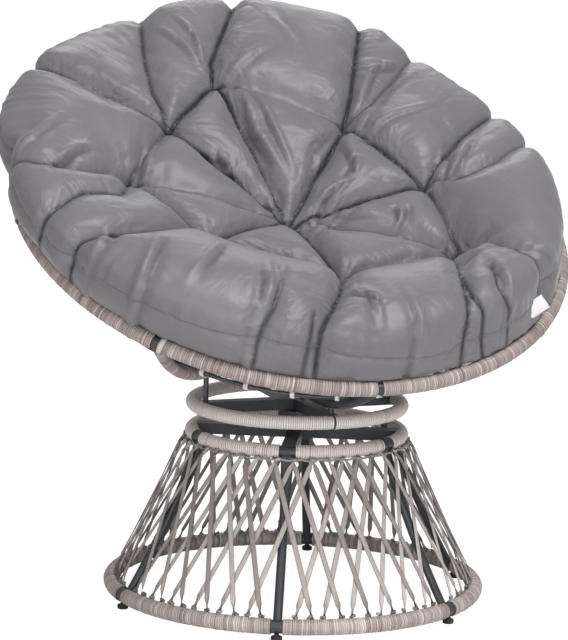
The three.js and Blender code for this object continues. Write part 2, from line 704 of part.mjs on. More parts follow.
function buildCushion() {
  const columns = cushionColumns();
  const rimTop = rimTubeRadius + windingThickness + fitGap;
  const shift = new THREE.Vector3(cushionShiftX, cushionShiftY, 0);
  const shifted = (column, radius, height, share) =>
    atAngle(radius, column.angle, height).addScaledVector(shift, share);
  const underRadii = [0.33, 0.57, 0.72, 0.85, 0.94].map((share) => share * rimInside);
  // Rows up the side: radius, height and share of the sideways shift
  const sideRows = [
    { radius: () => rimInside - 2 * fitGap, height: () => rimTop / 2, shift: 0 },
    { radius: () => rimInside + 2 * windingThickness, height: () => rimTop + windingThickness, shift: 0 },
    { radius: (column) => column.reach * 0.98, height: () => 2 * rimTop, shift: 0.5 },
    { radius: (column) => column.reach, height: (column) => column.crown * 0.5, shift: 1 },
    { radius: (column) => column.reach * 0.985, height: (column) => column.crown * 0.78, shift: 1 },
  ];
  // Top rows between the tuft ring and the edge: share outward and height share of the crown
  const outerShares = [[0.95, 0.66], [0.82, 0.86], [0.62, 0.92], [0.4, 0.82], [0.2, 0.55]];
  // Rows inside the tuft ring: share outward, height share of the tufts and fullness between them
  const innerShares = [[0.85, 1.15, 0.21], [0.6, 0.98, 0.53], [0.33, 0.61, 0.26]];

  const rowPoints = [];
  for (const radius of underRadii) {
    rowPoints.push(columns.map((column) => atAngle(radius, column.angle, cushionUnderside(radius))));
  }
  for (const row of sideRows) {
    rowPoints.push(columns.map((column) =>
      shifted(column, row.radius(column), row.height(column), row.shift)));
  }
  const ringHeight = (column) => column.tuftHeight + innerPuff * column.puff;
  for (const [share, crownShare] of outerShares) {
    rowPoints.push(columns.map((column) => {
      const radius = mix(column.tuftRadius, column.reach * 0.985, share);
      return shifted(column, radius, mix(ringHeight(column), column.crown, crownShare), share);
    }));
  }
  rowPoints.push(columns.map((column) => shifted(column, column.tuftRadius, ringHeight(column), 0)));
  for (const [share, tuftShare, puffShare] of innerShares) {
    rowPoints.push(columns.map((column) => {
      const dished = mix(cushionCentreHeight, column.tuftHeight, tuftShare);
      return shifted(column, column.tuftRadius * share, dished + innerPuff * puffShare * column.puff, 0);
    }));
  }

  const count = columns.length;
  const points = [new THREE.Vector3(0, 0, -cushionUndersideDepth), ...rowPoints.flat()];
  const topCentre = points.length;
  points.push(new THREE.Vector3(0, 0, cushionCentreHeight));
  const at = (row, column) => 1 + row * count + (column % count);
  const triangles = [];
  const lastRow = rowPoints.length - 1;
  for (let column = 0; column < count; column += 1) {
    triangles.push([0, at(0, column + 1), at(0, column)]);
    triangles.push([topCentre, at(lastRow, column), at(lastRow, column + 1)]);
    for (let row = 0; row < lastRow; row += 1) {
      triangles.push([at(row, column), at(row, column + 1), at(row + 1, column + 1)]);
      triangles.push([at(row, column), at(row + 1, column + 1), at(row + 1, column)]);
    }
  }
  addPiece(bowl, 'cushion', solidFrom(points, triangles), materials.cloth);

  addLabel(columns, rowPoints[underRadii.length + 2], rowPoints[underRadii.length + 3]);
}

// A small label sewn flat against the cushion's side, over the column nearest its angle
function addLabel(columns, lowRow, highRow) {
  const off = (column) => Math.abs(Math.sin(radians((column.angle + 90 - labelAngle) / 2)));
  const ranked = columns.map((column, i) => [off(column), i]).sort((a, b) => a[0] - b[0]);
  const left = Math.min(ranked[0][1], ranked[1][1]);
  const corners = [lowRow[left], lowRow[left + 1], highRow[left], highRow[left + 1]];
  const centre = new THREE.Vector3();
  corners.forEach((corner) => centre.addScaledVector(corner, 1 / corners.length));
  const along = corners[1].clone().sub(corners[0]).normalize();
  const upward = corners[2].clone().sub(corners[0]);
  const outward = along.clone().cross(upward).normalize();
  const ribbon = new THREE.BoxGeometry(labelLength, labelThickness, labelWidth);
  const label = addPiece(bowl, 'cushion_label', ribbon, materials.label);
  const turned = new THREE.Matrix4().makeBasis(along, outward, along.clone().cross(outward));
  label.quaternion.setFromRotationMatrix(turned);
  label.position.copy(centre).addScaledVector(outward, labelGap + labelThickness / 2);
}

buildBase();
buildBaseStrips();
buildBaseCross();
buildSwivel();
buildBowlFrame();
buildBowlStrips();
buildSeatFrame();
buildCushion();

// The frame's origin is the middle of the bounding box, on the floor
const box = new THREE.Box3().setFromObject(chair, true);
const middle = box.getCenter(new THREE.Vector3());
chair.position.set(-middle.x, -middle.y, -box.min.z);

export default chair;
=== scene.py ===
import json
import math

import bpy
import numpy as np
from mathutils import Matrix, Vector
from mathutils.bvhtree import BVHTree


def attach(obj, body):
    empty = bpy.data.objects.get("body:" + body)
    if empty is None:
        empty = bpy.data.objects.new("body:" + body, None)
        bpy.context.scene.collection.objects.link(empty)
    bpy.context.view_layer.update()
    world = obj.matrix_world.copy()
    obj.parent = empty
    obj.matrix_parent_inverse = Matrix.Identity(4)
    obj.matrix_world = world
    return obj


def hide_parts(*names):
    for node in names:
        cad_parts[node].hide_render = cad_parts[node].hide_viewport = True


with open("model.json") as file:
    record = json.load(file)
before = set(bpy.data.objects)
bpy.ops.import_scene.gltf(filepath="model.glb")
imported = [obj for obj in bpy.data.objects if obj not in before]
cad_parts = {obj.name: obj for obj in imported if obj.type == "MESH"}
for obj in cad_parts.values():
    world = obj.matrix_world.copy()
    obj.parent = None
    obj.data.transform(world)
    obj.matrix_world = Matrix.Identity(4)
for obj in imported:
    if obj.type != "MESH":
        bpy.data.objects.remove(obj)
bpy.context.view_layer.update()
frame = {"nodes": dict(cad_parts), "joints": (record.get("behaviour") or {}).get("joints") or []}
print("frame loaded")

# Where the chair stands: the swivel's axis is the middle of base and seat
swivelJoint = next(joint for joint in frame["joints"] if joint["name"] == "seat_swivel")
axisX, axisY = swivelJoint["pos_m"][0], swivelJoint["pos_m"][1]

# Sizes that several pieces share, in millimetres and degrees, as the frame has them
chair = {
    "bottomRing": 299, "bottomHeight": 21, "bottomSteel": 10.5,
    "topRing": 171.4, "topHeight": 272, "topSteel": 9,
    "seatRing": 170.7, "seatHeight": 319, "seatSteel": 9,
    "rim": 451, "rimSteel": 10, "rimSetback": 47.8, "rimHeight": 620, "rimTilt": 28.28,
    "bowlDepth": 241, "firstLeg": -115.16, "winding": 1.8,
}
bowlSphere = (chair["rim"] ** 2 + chair["bowlDepth"] ** 2) / (2 * chair["bowlDepth"])
bowlCentre = bowlSphere - chair["bowlDepth"]
tilt = math.radians(chair["rimTilt"])
rimUp = Vector((0, -math.sin(tilt), math.cos(tilt)))  # square to the rim
rng = np.random.default_rng(7)


def inChair(points):  # millimetres about the swivel's axis, on the floor, to metres in the frame
    return np.asarray(points, float) / 1000 + np.array([axisX, axisY, 0])


def inRim(points):  # millimetres in the rim's own tilted frame, to metres in the frame
    p = np.asarray(points, float)
    x, y, z = p[..., 0], p[..., 1], p[..., 2]
    turned = np.stack([x, y * math.cos(tilt) - z * math.sin(tilt) + chair["rimSetback"],
                       y * math.sin(tilt) + z * math.cos(tilt) + chair["rimHeight"]], -1)
    return inChair(turned)


def radial(angles, height=0.0):  # directions out from the middle at angles in radians
    return np.stack([np.cos(angles), np.sin(angles), np.zeros_like(angles) + height], -1)


def sideways(angle):
    return np.array([-math.sin(angle), math.cos(angle), 0])


def unitRing(angles, first, second):  # directions round a circle spanned by two others
    return np.cos(angles)[:, None] * first + np.sin(angles)[:, None] * second


def fullTurn(count):
    return np.linspace(0, 2 * np.pi, count, endpoint=False)


def textureGrid(rows, columns):  # millimetres along and across to texture metres
    return np.stack(np.broadcast_arrays(rows[:, None], columns[None]), -1) / 1000


# A pile gathers the grids of points that one piece is made of
def newPile():
    return {"points": [], "faces": [], "uv": [], "tone": [], "paintedShade": [], "count": 0}


def setValues(target, key, values, kind=np.float32):
    target.foreach_set(key, np.asarray(values).astype(kind).ravel())


def addPointValues(mesh, name, values):
    setValues(mesh.attributes.new(name, "FLOAT", "POINT").data, "value", values)


def addObject(name, data):
    item = bpy.data.objects.new(name, data)
    bpy.context.scene.collection.objects.link(item)
    return item


def numbered(label, count):
    return [f"{label}_{i + 1}" for i in range(count)]


def layGrid(pile, points, uv, tone=0.0, paintedShade=0.0, around=True):
    rows, cols = points.shape[:2]
    ids = pile["count"] + np.arange(rows * cols).reshape(rows, cols)
    if around:
        beside = np.roll(ids, -1, axis=1)
        quads = np.stack([ids[:-1], beside[:-1], beside[1:], ids[1:]], -1)
    else:
        quads = np.stack([ids[:-1, :-1], ids[:-1, 1:], ids[1:, 1:], ids[1:, :-1]], -1)
    corners = np.stack([uv[:-1, :-1], uv[:-1, 1:], uv[1:, 1:], uv[1:, :-1]], -2)
    pile["points"].append(points.reshape(-1, 3))
    pile["faces"].append(quads.reshape(-1, 4))
    pile["uv"].append(corners.reshape(-1, 2))
    pile["tone"].append(np.broadcast_to(tone, (rows, cols)).reshape(-1))
    pile["paintedShade"].append(np.broadcast_to(paintedShade, (rows, cols)).reshape(-1))
    pile["count"] += rows * cols


def raisePile(pile, name, body, material, replaced=()):
    points = np.concatenate(pile["points"])
    faces = np.concatenate(pile["faces"])
    mesh = bpy.data.meshes.new(name)
    mesh.vertices.add(len(points))
    setValues(mesh.vertices, "co", points)
    mesh.loops.add(faces.size)
    setValues(mesh.loops, "vertex_index", faces, np.int32)
    mesh.polygons.add(len(faces))
    setValues(mesh.polygons, "loop_start", np.arange(0, faces.size, 4), np.int32)
    setValues(mesh.polygons, "use_smooth", np.full(len(faces), True), bool)
    mesh.update(calc_edges=True)
    setValues(mesh.uv_layers.new(name="UVMap").data, "uv", np.concatenate(pile["uv"]))
    for key in ("tone", "paintedShade"):
        addPointValues(mesh, key, np.concatenate(pile[key]))
    mesh.validate()
    piece = addObject(name, mesh)
    mesh.materials.append(material)
    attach(piece, body)
    if replaced:
        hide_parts(*replaced)
    return piece


# A path gives, for distances along it in mm, its centre and two directions across it
def ringPath(radius, height, startAngle):
    def path(s):
        a = math.radians(startAngle) + s / radius
        out = radial(a)
        up = np.broadcast_to(np.array([0.0, 0.0, 1.0]), out.shape)
        return radius * out + height * up, out, up
    return path


def ribPath(angle, startPolar):  # down the bowl's sphere from a polar angle in radians
    a = math.radians(angle)

    def path(s):
        polar = startPolar - s / bowlSphere
        out = np.stack([np.sin(polar) * math.cos(a), np.sin(polar) * math.sin(a), -np.cos(polar)], -1)
        side = np.broadcast_to(sideways(a), out.shape)
        return bowlSphere * out + np.array([0, 0, bowlCentre]), -side, out
    return path


def tube(pile, path, length, radius, place, sides=24):
    rowGap = 8
    s = np.linspace(0, length, max(2, int(length / rowGap) + 1))
    phi = fullTurn(sides)
    centre, n1, n2 = path(s)
    ring = np.cos(phi)[None, :, None] * n1[:, None] + np.sin(phi)[None, :, None] * n2[:, None]
    around = np.linspace(0, 2 * np.pi * radius, sides + 1)
    layGrid(pile, place(centre[:, None] + float(radius) * ring), textureGrid(s, around))


# One long strand wound round a tube, turn beside turn
strandLook = {"turnWidth": 3.5, "widthSpread": 0.16, "grooveDepth": 0.5, "lean": 0.6, "liftSpread": 0.14,
              "grooveShade": 0.7, "openGapShare": 0.1, "darkTurnShare": 0.02, "darkTurnDrop": 0.9,
              "toneSpread": 0.32, "proud": 0.3, "inside": 0.05, "edgeLift": 0.3, "gapDrop": 0.4,
              "gapShade": 1.5, "wanderEvery": 60, "fadeLength": 6}
# The windings on the ribs are pulled apart, so the dark tube shows between the turns, with painted shade
# deepening the gaps
ribStrandLook = dict(strandLook, turnWidth=6.2, grooveDepth=1.7, grooveShade=1.4, openGapShare=0.3)


def windStrand(pile, path, length, steelRadius, place, sides=26, look=strandLook, baseTone=0.0):
    turns = max(3, round(length / look["turnWidth"]))
    widths = 1 + look["widthSpread"] * rng.standard_normal(turns).clip(-2, 2)
    edges = np.concatenate([[0], np.cumsum(widths)]) * length / widths.sum()
    lift = look["liftSpread"] * rng.standard_normal(turns).clip(-2, 2)
    tones = baseTone + look["toneSpread"] * rng.standard_normal(turns).clip(-2, 2)
    tones[rng.random(turns) < look["darkTurnShare"]] -= look["darkTurnDrop"]
    inner, outer = steelRadius + look["inside"], steelRadius + chair["winding"] + look["proud"]
    groove = look["grooveDepth"]
    # one turn from edge to edge: share of its width, height over the strand's face and shade
    shape = [(0.0, -groove, look["grooveShade"]), (0.2, -0.05, 0.05), (0.5, 0.1, 0.0), (0.8, -0.05, 0.05)]
    gapOpen = rng.random(turns) < look["openGapShare"]
    s, radii, tone, paintedShade = [0], [inner], [tones[0]], [1]
    for k in range(turns):
        for share, drop, dip in shape:
            atEdge = share == 0
            s.append(edges[k] + share * (edges[k + 1] - edges[k]))
            atGap = gapOpen[k] and atEdge
            radii.append(outer + drop + lift[k] * (look["edgeLift"] if atEdge else 1)
                         - (look["gapDrop"] if atGap else 0))
            tone.append(tones[k])
            paintedShade.append(look["gapShade"] if atGap else dip)
    s = np.array(s + [length, length])
    radii = np.array(radii + [outer - groove, inner])
    tone = np.array(tone + [tones[-1]] * 2)
    paintedShade = np.array(paintedShade + [1, 1])
    phi = fullTurn(sides)
    wanderSteps = max(3, int(length / look["wanderEvery"]))
    wander = np.interp(s, np.linspace(0, length, wanderSteps), rng.uniform(0, 2 * np.pi, wanderSteps))
    fade = np.clip(np.minimum(s, length - s) / look["fadeLength"], 0, 1)
    along = s[:, None] + fade[:, None] * look["lean"] * np.cos(phi[None] - wander[:, None])
    centre, n1, n2 = path(along)
    ring = np.cos(phi)[None, :, None] * n1 + np.sin(phi)[None, :, None] * n2
    points = centre + radii[:, None, None] * ring
    around = np.linspace(0, 2 * np.pi * outer, sides + 1)
    uv = np.stack(np.broadcast_arrays(around[None], s[:, None]), -1) / 1000
    layGrid(pile, place(points), uv, tone[:, None], paintedShade[:, None])


def drawnIn(points, middle):  # nearly closes the end of a strip
    return points * 0.02 + middle * 0.98


# A strip's cross-section: shares of half its width and of half its thickness, and how much painted shade each
# point takes, most at the sides and some on the underside
stripSection = np.array([(-1, 0, 0.55), (-0.86, 1, 0.12), (-0.4, 1.12, 0), (0.4, 1.12, 0),
                         (0.86, 1, 0.12), (1, 0, 0.55), (0.86, -1, 0.2), (0, -1, 0.2), (-0.86, -1, 0.2)])
textureLength = 900  # each strip's texture starts somewhere in this length, in mm


# A flat strip along a line of points, with its face turned to the given normals
def layStrip(pile, line, normals, width, thickness, place, tone=0.0, closed=False):
    line = np.asarray(line, float)
    normals = np.asarray(normals, float)
    if closed:
        ahead, behind = np.roll(line, -1, 0), np.roll(line, 1, 0)
    else:
        ahead, behind = np.vstack([line[1:], line[-1:]]), np.vstack([line[:1], line[:-1]])
    tangent = ahead - behind
    tangent /= np.linalg.norm(tangent, axis=1)[:, None]
    across = np.cross(tangent, normals)
    across /= np.linalg.norm(across, axis=1)[:, None]
    up = np.cross(across, tangent)
    section = stripSection[:, :2] * (width / 2, thickness / 2)
    points = line[:, None] + section[None, :, :1] * across[:, None] + section[None, :, 1:] * up[:, None]
    steps = np.linalg.norm(np.diff(line, axis=0), axis=1)
    s = np.concatenate([[0], np.cumsum(steps)])
    girth = np.linspace(0, 2 * (width + thickness), len(section) + 1)
    if closed:
        points = np.concatenate([points, points[:1]])
        s = np.append(s, s[-1] + steps[-1])
    else:
        points = np.concatenate([drawnIn(points[:1], line[:1, None]), points,
                                 drawnIn(points[-1:], line[-1:, None])])
        s = np.concatenate([s[:1], s, s[-1:]])
    uv = textureGrid(s + rng.uniform(0, textureLength), girth)
    layGrid(pile, place(points), uv, tone, stripSection[None, :, 2])


def turnedProfile(pile, profile, centre, place, sides=32):
    phi = fullTurn(sides)
    r, z = np.array(profile, float).T
    points = r[:, None, None] * radial(phi) + z[:, None, None] * np.array([0, 0, 1.0])
    layGrid(pile, place(points + np.array(centre)),
            textureGrid(np.cumsum(r), np.linspace(0, 2 * np.pi * r.max(), sides + 1)))


def linear(hexColour):
    values = [int(hexColour[i:i + 2], 16) / 255 for i in (1, 3, 5)]
    return tuple(v / 12.92 if v <= 0.04045 else ((v + 0.055) / 1.055) ** 2.4 for v in values) + (1.0,)


def addNode(material, kind, settings=None, inputs=None):
    node = material.node_tree.nodes.new(kind)
    for key, value in (settings or {}).items():
        setattr(node, key, value)
    for key, value in (inputs or {}).items():
        if isinstance(value, bpy.types.NodeSocket):
            material.node_tree.links.new(value, node.inputs[key])
        else:
            node.inputs[key].default_value = value
    return node


shaderInputs = {"roughness": "Roughness", "metallic": "Metallic", "ior": "IOR", "sheen": "Sheen Weight",
                "sheenRoughness": "Sheen Roughness", "specular": "Specular IOR Level"}


def startMaterial(name, **values):
    material = bpy.data.materials.new(name)
    material.use_nodes = True
    shader = material.node_tree.nodes["Principled BSDF"]
    for key, value in values.items():
        shader.inputs[shaderInputs[key]].default_value = value
    return material, shader


def ramp(material, fac, stops):
    node = addNode(material, "ShaderNodeValToRGB", inputs={"Fac": fac})
    while len(node.color_ramp.elements) < len(stops):
        node.color_ramp.elements.new(0.5)
    for element, (position, colour) in zip(node.color_ramp.elements, stops):
        element.position = position
        element.color = linear(colour)
    return node.outputs["Color"]


def link(material, output, shader, name):
    material.node_tree.links.new(output, shader.inputs[name])


def objectPlace(material):
    return addNode(material, "ShaderNodeTexCoord").outputs["Object"]


def pointValue(material, name):
    return addNode(material, "ShaderNodeAttribute", {"attribute_name": name}).outputs["Fac"]


def noise(material, vector, scale, **more):
    return addNode(material, "ShaderNodeTexNoise",
                   inputs={"Vector": vector, "Scale": scale, **more}).outputs["Fac"]


def waves(material, vector, scale, direction, **more):
    return addNode(material, "ShaderNodeTexWave", {"bands_direction": direction},
                   {"Vector": vector, "Scale": scale, **more}).outputs["Fac"]


def sumUp(material, value, factor, addend):
    return addNode(material, "ShaderNodeMath", {"operation": "MULTIPLY_ADD"},
                   {0: value, 1: factor, 2: addend}).outputs[0]


def mixColours(material, share, first, second, **settings):
    return addNode(material, "ShaderNodeMix", {"data_type": "RGBA", **settings},
                   {"Factor": share, "A": first, "B": second}).outputs["Result"]


def linkRoughness(material, shader, fac, low, high):
    rough = addNode(material, "ShaderNodeMapRange", inputs={"Value": fac, "To Min": low, "To Max": high})
    link(material, rough.outputs["Result"], shader, "Roughness")


# Bump layers from the deepest up: height, strength and distance in metres
def linkBumps(material, shader, layers):
    below = {}
    for height, strength, distance in layers:
        bump = addNode(material, "ShaderNodeBump",
                       inputs={"Height": height, "Strength": strength, "Distance": distance, **below})
        below = {"Normal": bump.outputs["Normal"]}
    link(material, below["Normal"], shader, "Normal")


# Extruded polyethylene strand, rolled flat and embossed lengthwise: a dry, slightly waxy face with fine
# streaks along the strand, tones that change from turn to turn, and painted shade darkening the edges where
# strands meet
def makeStrandResin(name, light, middle, dark, groove, streakContrast):
    material, shader = startMaterial(name, roughness=0.42, ior=1.5, specular=0.5)
    tone, paintedShade = pointValue(material, "tone"), pointValue(material, "paintedShade")
    uv = addNode(material, "ShaderNodeUVMap", {"uv_map": "UVMap"}).outputs["UV"]
    # streaks are 0.9 mm wide and some 25 mm long, a little coarser than the 0.4 mm emboss so that they show
    streakMap = addNode(material, "ShaderNodeMapping", inputs={"Vector": uv, "Scale": (40, 1100, 1)})
    streaks = noise(material, streakMap.outputs["Vector"], 1.0, Detail=3.0, Roughness=0.6)
    blotches = noise(material, uv, 38.0, Detail=2.0)
    both = sumUp(material, blotches, 0.5, sumUp(material, streaks, streakContrast, tone))
    fac = addNode(material, "ShaderNodeMapRange", inputs={"Value": both, "From Min": -0.6, "From Max": 1.6})
    body = ramp(material, fac.outputs["Result"], [(0.0, dark), (0.5, middle), (1.0, light)])
    # painted shade: the body is mixed toward the groove colour in the gaps between turns, at strip sides and
    # undersides
    link(material, mixColours(material, paintedShade, body, linear(groove)), shader, "Base Color")
    linkRoughness(material, shader, streaks, 0.34, 0.52)
    linkBumps(material, shader, [(streaks, 0.35, 0.0004)])
    return material


# Steel tube under a graphite powder coat: near black with a blue cast, a soft gloss and an orange-peel
# ripple of about 1.5 mm
def makePowderCoat():
    material, shader = startMaterial("graphitePowderCoatedSteel", roughness=0.38, ior=1.5, specular=0.55)
    place = objectPlace(material)
    peel, dust = noise(material, place, 650.0, Detail=2.0), noise(material, place, 14.0, Detail=5.0)
    body = ramp(material, dust, [(0.3, "#2b2d31"), (0.55, "#34373c"), (0.8, "#42454a")])
    link(material, body, shader, "Base Color")
    linkRoughness(material, shader, dust, 0.3, 0.5)
    linkBumps(material, shader, [(peel, 0.18, 0.0004)])
    return material


# Bright zinc plate on turned steel: cool grey metal with a faint cloudy crystal pattern
def makeZincPlate():
    material, shader = startMaterial("zincPlatedSteel", roughness=0.32, metallic=1.0)
    cloud = noise(material, objectPlace(material), 120.0, Detail=4.0)
    link(material, ramp(material, cloud, [(0.3, "#8f9398"), (0.7, "#b4b7ba")]), shader, "Base Color")
    linkRoughness(material, shader, cloud, 0.22, 0.42)
    return material


# Moulded polypropylene foot: matt black with a fine spark-eroded grain and greyer scuffs
def makeMouldedFoot():
    material, shader = startMaterial("mouldedPolypropylene", roughness=0.6, ior=1.49)
    place = objectPlace(material)
    grain, scuff = noise(material, place, 1400.0), noise(material, place, 160.0, Detail=6.0)
    link(material, ramp(material, scuff, [(0.4, "#17181a"), (0.75, "#2d2e30")]), shader, "Base Color")
    linkBumps(material, shader, [(grain, 0.3, 0.0002)])
    return material


# Water-repellent polyester in a close satin weave: mid grey with a soft bright sheen, threads about 0.35 mm
# drawn at 1.1 mm so that they show, smooth on the lobes and crumpled towards the folds
def makeSatinPolyester():
    material, shader = startMaterial("satinPolyester", roughness=0.42, ior=1.46, specular=0.5, sheen=0.2,
                                     sheenRoughness=0.4)
    place = objectPlace(material)
    wide = noise(material, place, 5.0, Detail=3.0)
    warp, weft = [waves(material, place, 285.0, direction, Distortion=1.5, Detail=1.0) for direction in "XY"]
    weave = addNode(material, "ShaderNodeMath", {"operation": "MULTIPLY"}, {0: warp, 1: weft}).outputs[0]
    body = ramp(material, wide, [(0.3, "#69666c"), (0.5, "#6e6b70"), (0.72, "#727073")])
    threads = mixColours(material, 0.07, body, weave, blend_type="MULTIPLY")
    # painted shade: the cloth is mixed toward near black where the folds close and beside the tucks
    deep = mixColours(material, pointValue(material, "paintedShade"), threads, linear("#1c1c1f"))
    link(material, deep, shader, "Base Color")
    crush = noise(material, place, 30.0, Detail=5.0, Distortion=1.6)
    pulls = noise(material, place, 10.0, Detail=2.5, Distortion=2.4)
    crumple = sumUp(material, pointValue(material, "drawn"), 0.6, 0.1)
    linkBumps(material, shader, [(pulls, crumple, 0.016), (crush, crumple, 0.003), (weave, 0.06, 0.0003)])
    return material


# White satin ribbon, tightly woven, with a silky face and faint ribs across it
def makeSatinRibbon():
    material, shader = startMaterial("whiteSatinRibbon", roughness=0.38, ior=1.46, sheen=0.3)
    uv = addNode(material, "ShaderNodeUVMap", {"uv_map": "UVMap"}).outputs["UV"]
    ribs = waves(material, uv, 320.0, "X")
    link(material, ramp(material, ribs, [(0.0, "#cfcfd2"), (1.0, "#dededf")]), shader, "Base Color")
    linkBumps(material, shader, [(ribs, 0.2, 0.0002)])
    return material


# Spun polyester sewing thread, a shade darker than the cloth, with the twist's fine fuzz
def makeThread():
    material, shader = startMaterial("spunPolyesterThread", roughness=0.7, ior=1.46, sheen=0.3)
    fuzz = noise(material, objectPlace(material), 900.0)
    link(material, ramp(material, fuzz, [(0.3, "#4a4a4e"), (0.7, "#5e5e62")]), shader, "Base Color")
    return material


windingResin = makeStrandResin("woundResinStrand", "#d8cdc9", "#9f918c", "#786b66", "#433a37", 0.5)
stripResin = makeStrandResin("flatResinStrip", "#c3bbb8", "#938986", "#655b58", "#4a413e", 0.8)
paleStrip = makeStrandResin("paleResinStrip", "#d8d2cb", "#bfb7ae", "#978d83", "#6a6058", 0.7)
powderCoat = makePowderCoat()
zincPlate = makeZincPlate()
mouldedFoot = makeMouldedFoot()
satinPolyester = makeSatinPolyester()
satinRibbon = makeSatinRibbon()
threadPolyester = makeThread()
print("materials made")

# The base: two wound rings, six legs pressed flat at the top, and glides
# topTone paints the top ring's winding much lighter: painted light standing in for the fill light it misses
# in the shade under the seat
baseLook = {"legs": 6, "bareAtFoot": 19, "bareAtTop": 25, "legRadius": 7.2, "footInset": 5, "bow": 8,
            "tabHalfWidth": 10, "tabHalfDepth": 5, "flatFrom": 0.55, "squareness": 0.45,
            "legLength": 280, "legGirth": 45, "glideOutset": 3, "bottomTone": 0.25, "topTone": 2.0,
            "glideProfile": [(0.01, 0), (7.6, 0), (8.5, 0.5), (8.8, 1.6), (8.8, 5.4), (8.4, 6.6), (7.4, 7),
                             (4.6, 7.1), (4, 7.6), (4, 10.2), (0.01, 10.2)]}
legStep = 360 / baseLook["legs"]
legAngles = [chair["firstLeg"] + legStep * i for i in range(baseLook["legs"])]


def buildBaseRings():
    pile = newPile()
    for ring in ("bottom", "top"):
        radius, height = chair[ring + "Ring"], chair[ring + "Height"]
        tube(pile, ringPath(radius, height, 0), 2 * math.pi * radius, chair[ring + "Steel"], inChair)
    raisePile(pile, "baseRingTubes", "base", powderCoat, ("base_bottom_ring", "base_top_ring"))
    for ring, bareKey in (("bottom", "bareAtFoot"), ("top", "bareAtTop")):
        pile = newPile()
        radius, bare = chair[ring + "Ring"], baseLook[bareKey]
        for angle in legAngles:
            path = ringPath(radius, chair[ring + "Height"], angle + math.degrees(bare / 2 / radius))
            windStrand(pile, path, radius * math.radians(legStep) - bare, chair[ring + "Steel"], inChair,
                       baseTone=baseLook[ring + "Tone"])
        raisePile(pile, ring + "_ring_windings", "base", windingResin,
                  numbered(ring + "_ring_winding", baseLook["legs"]))


def buildLegs():
    look = baseLook
    pile = newPile()
    sides, rows = 28, 34
    phi = fullTurn(sides)
    share = np.linspace(0, 1, rows)
    foot = chair["bottomRing"] - look["footInset"]
    radius = foot * (1 - share) + chair["topRing"] * share - 4 * look["bow"] * share * (1 - share)
    height = chair["bottomHeight"] * (1 - share) + chair["topHeight"] * share
    flat = np.clip((share - look["flatFrom"]) / (1 - look["flatFrom"]), 0, 1)
    flat = flat * flat * (3 - 2 * flat)
    halfWidth = look["legRadius"] * (1 - flat) + look["tabHalfWidth"] * flat
    halfDepth = look["legRadius"] * (1 - flat) + look["tabHalfDepth"] * flat
    power = (1 - look["squareness"] * flat)[:, None]  # the pressed end turns from round to a rounded flat
    c = halfWidth[:, None] * np.sign(np.cos(phi)) * np.abs(np.cos(phi)) ** power
    s = halfDepth[:, None] * np.sign(np.sin(phi)) * np.abs(np.sin(phi)) ** power
    uv = textureGrid(share * look["legLength"], np.linspace(0, look["legGirth"], sides + 1))
    for angle in legAngles:
        a = math.radians(angle)
        outward, along = radial(a), sideways(a)
        centre = radius[:, None] * outward + height[:, None] * np.array([0, 0, 1])
        points = centre[:, None] + c[..., None] * along + s[..., None] * outward
        layGrid(pile, inChair(points), uv)
    raisePile(pile, "baseLegs", "base", powderCoat, numbered("base_leg", look["legs"]))

    pile = newPile()
    for angle in legAngles:
        centre = (chair["bottomRing"] + look["glideOutset"]) * radial(math.radians(angle))
        turnedProfile(pile, look["glideProfile"], centre, inChair)
    raisePile(pile, "baseFeet", "base", mouldedFoot, numbered("base_glide", look["legs"]))


# Strips run as straight chords between the rings, so two crossing families make the diamond net
baseStrips = {"rising": [4.95, 14.1, 23.25, 32.4, 41.55, 50.7], "risingTwist": 23.0, "risingTone": 0.45,
              "falling": [10.1, 19.8, 28.3, 37.7, 46.6, 54.8], "fallingTwist": -17.3, "fallingTone": -0.1,
              "footRadius": 293.5, "footHeight": 35.2, "headRadius": 184.0, "headHeight": 266.0,
              "width": 8.5, "thickness": 1.4, "layer": 1.7,
              "footTurns": (215, 190, 165, 140, 118), "footWrap": 1.3,
              "headTurns": (-44, -68, -92, -118, -142), "headWrap": 1.2, "headShift": 0.3,
              "angleSpread": 0.35, "sway": 0.5, "toneSpread": 0.25}
lashingLook = {"radius": 183.5, "height": 261.2, "width": 3.6, "thickness": 1.3, "tone": -0.2,
               "waves": 36, "waveOut": 0.9, "waveUp": 1.3}


def onRing(radius, angle, height):
    return radius * radial(math.radians(angle)) + np.array([0, 0, height])


def wrapRound(ring, wound, angle, turns, shift=0.0):  # a strip's end turned round a wound ring
    places, normals = [], []
    for turn in turns:
        t = math.radians(turn)
        places.append(onRing(chair[ring + "Ring"] + wound * math.cos(t) + shift, angle,
                             chair[ring + "Height"] + wound * math.sin(t)))
        normals.append(math.cos(t) * radial(math.radians(angle)) + np.array([0, 0, math.sin(t)]))
    return np.array(places), np.array(normals)


def stripRun(startAngle, twist, lift):
    look = baseStrips
    foot = onRing(look["footRadius"] + lift, startAngle, look["footHeight"])
    head = onRing(look["headRadius"] + lift, startAngle + twist, look["headHeight"])
    share = np.linspace(0, 1, 15)[:, None]
    line = foot * (1 - share) + head * share
    line += np.array([rng.normal(0, look["sway"]), rng.normal(0, look["sway"]), 0]) * np.sin(np.pi * share)
    slope = math.atan2(look["footRadius"] - look["headRadius"], look["headHeight"] - look["footHeight"])
    normals = math.cos(slope) * radial(np.arctan2(line[:, 1], line[:, 0])) + np.array([0, 0, math.sin(slope)])
    # both ends turn in and wrap the wound rings: over the bottom ring's inner side, and under the top ring
    footTurn, footNormals = wrapRound("bottom", chair["bottomSteel"] + chair["winding"] + look["footWrap"],
                                      startAngle, look["footTurns"])
    headTurn, headNormals = wrapRound("top", chair["topSteel"] + chair["winding"] + look["headWrap"],
                                      startAngle + twist, look["headTurns"], lift * look["headShift"])
    return (np.concatenate([footTurn, line[1:-1], headTurn]),
            np.concatenate([footNormals, normals[1:-1], headNormals]))


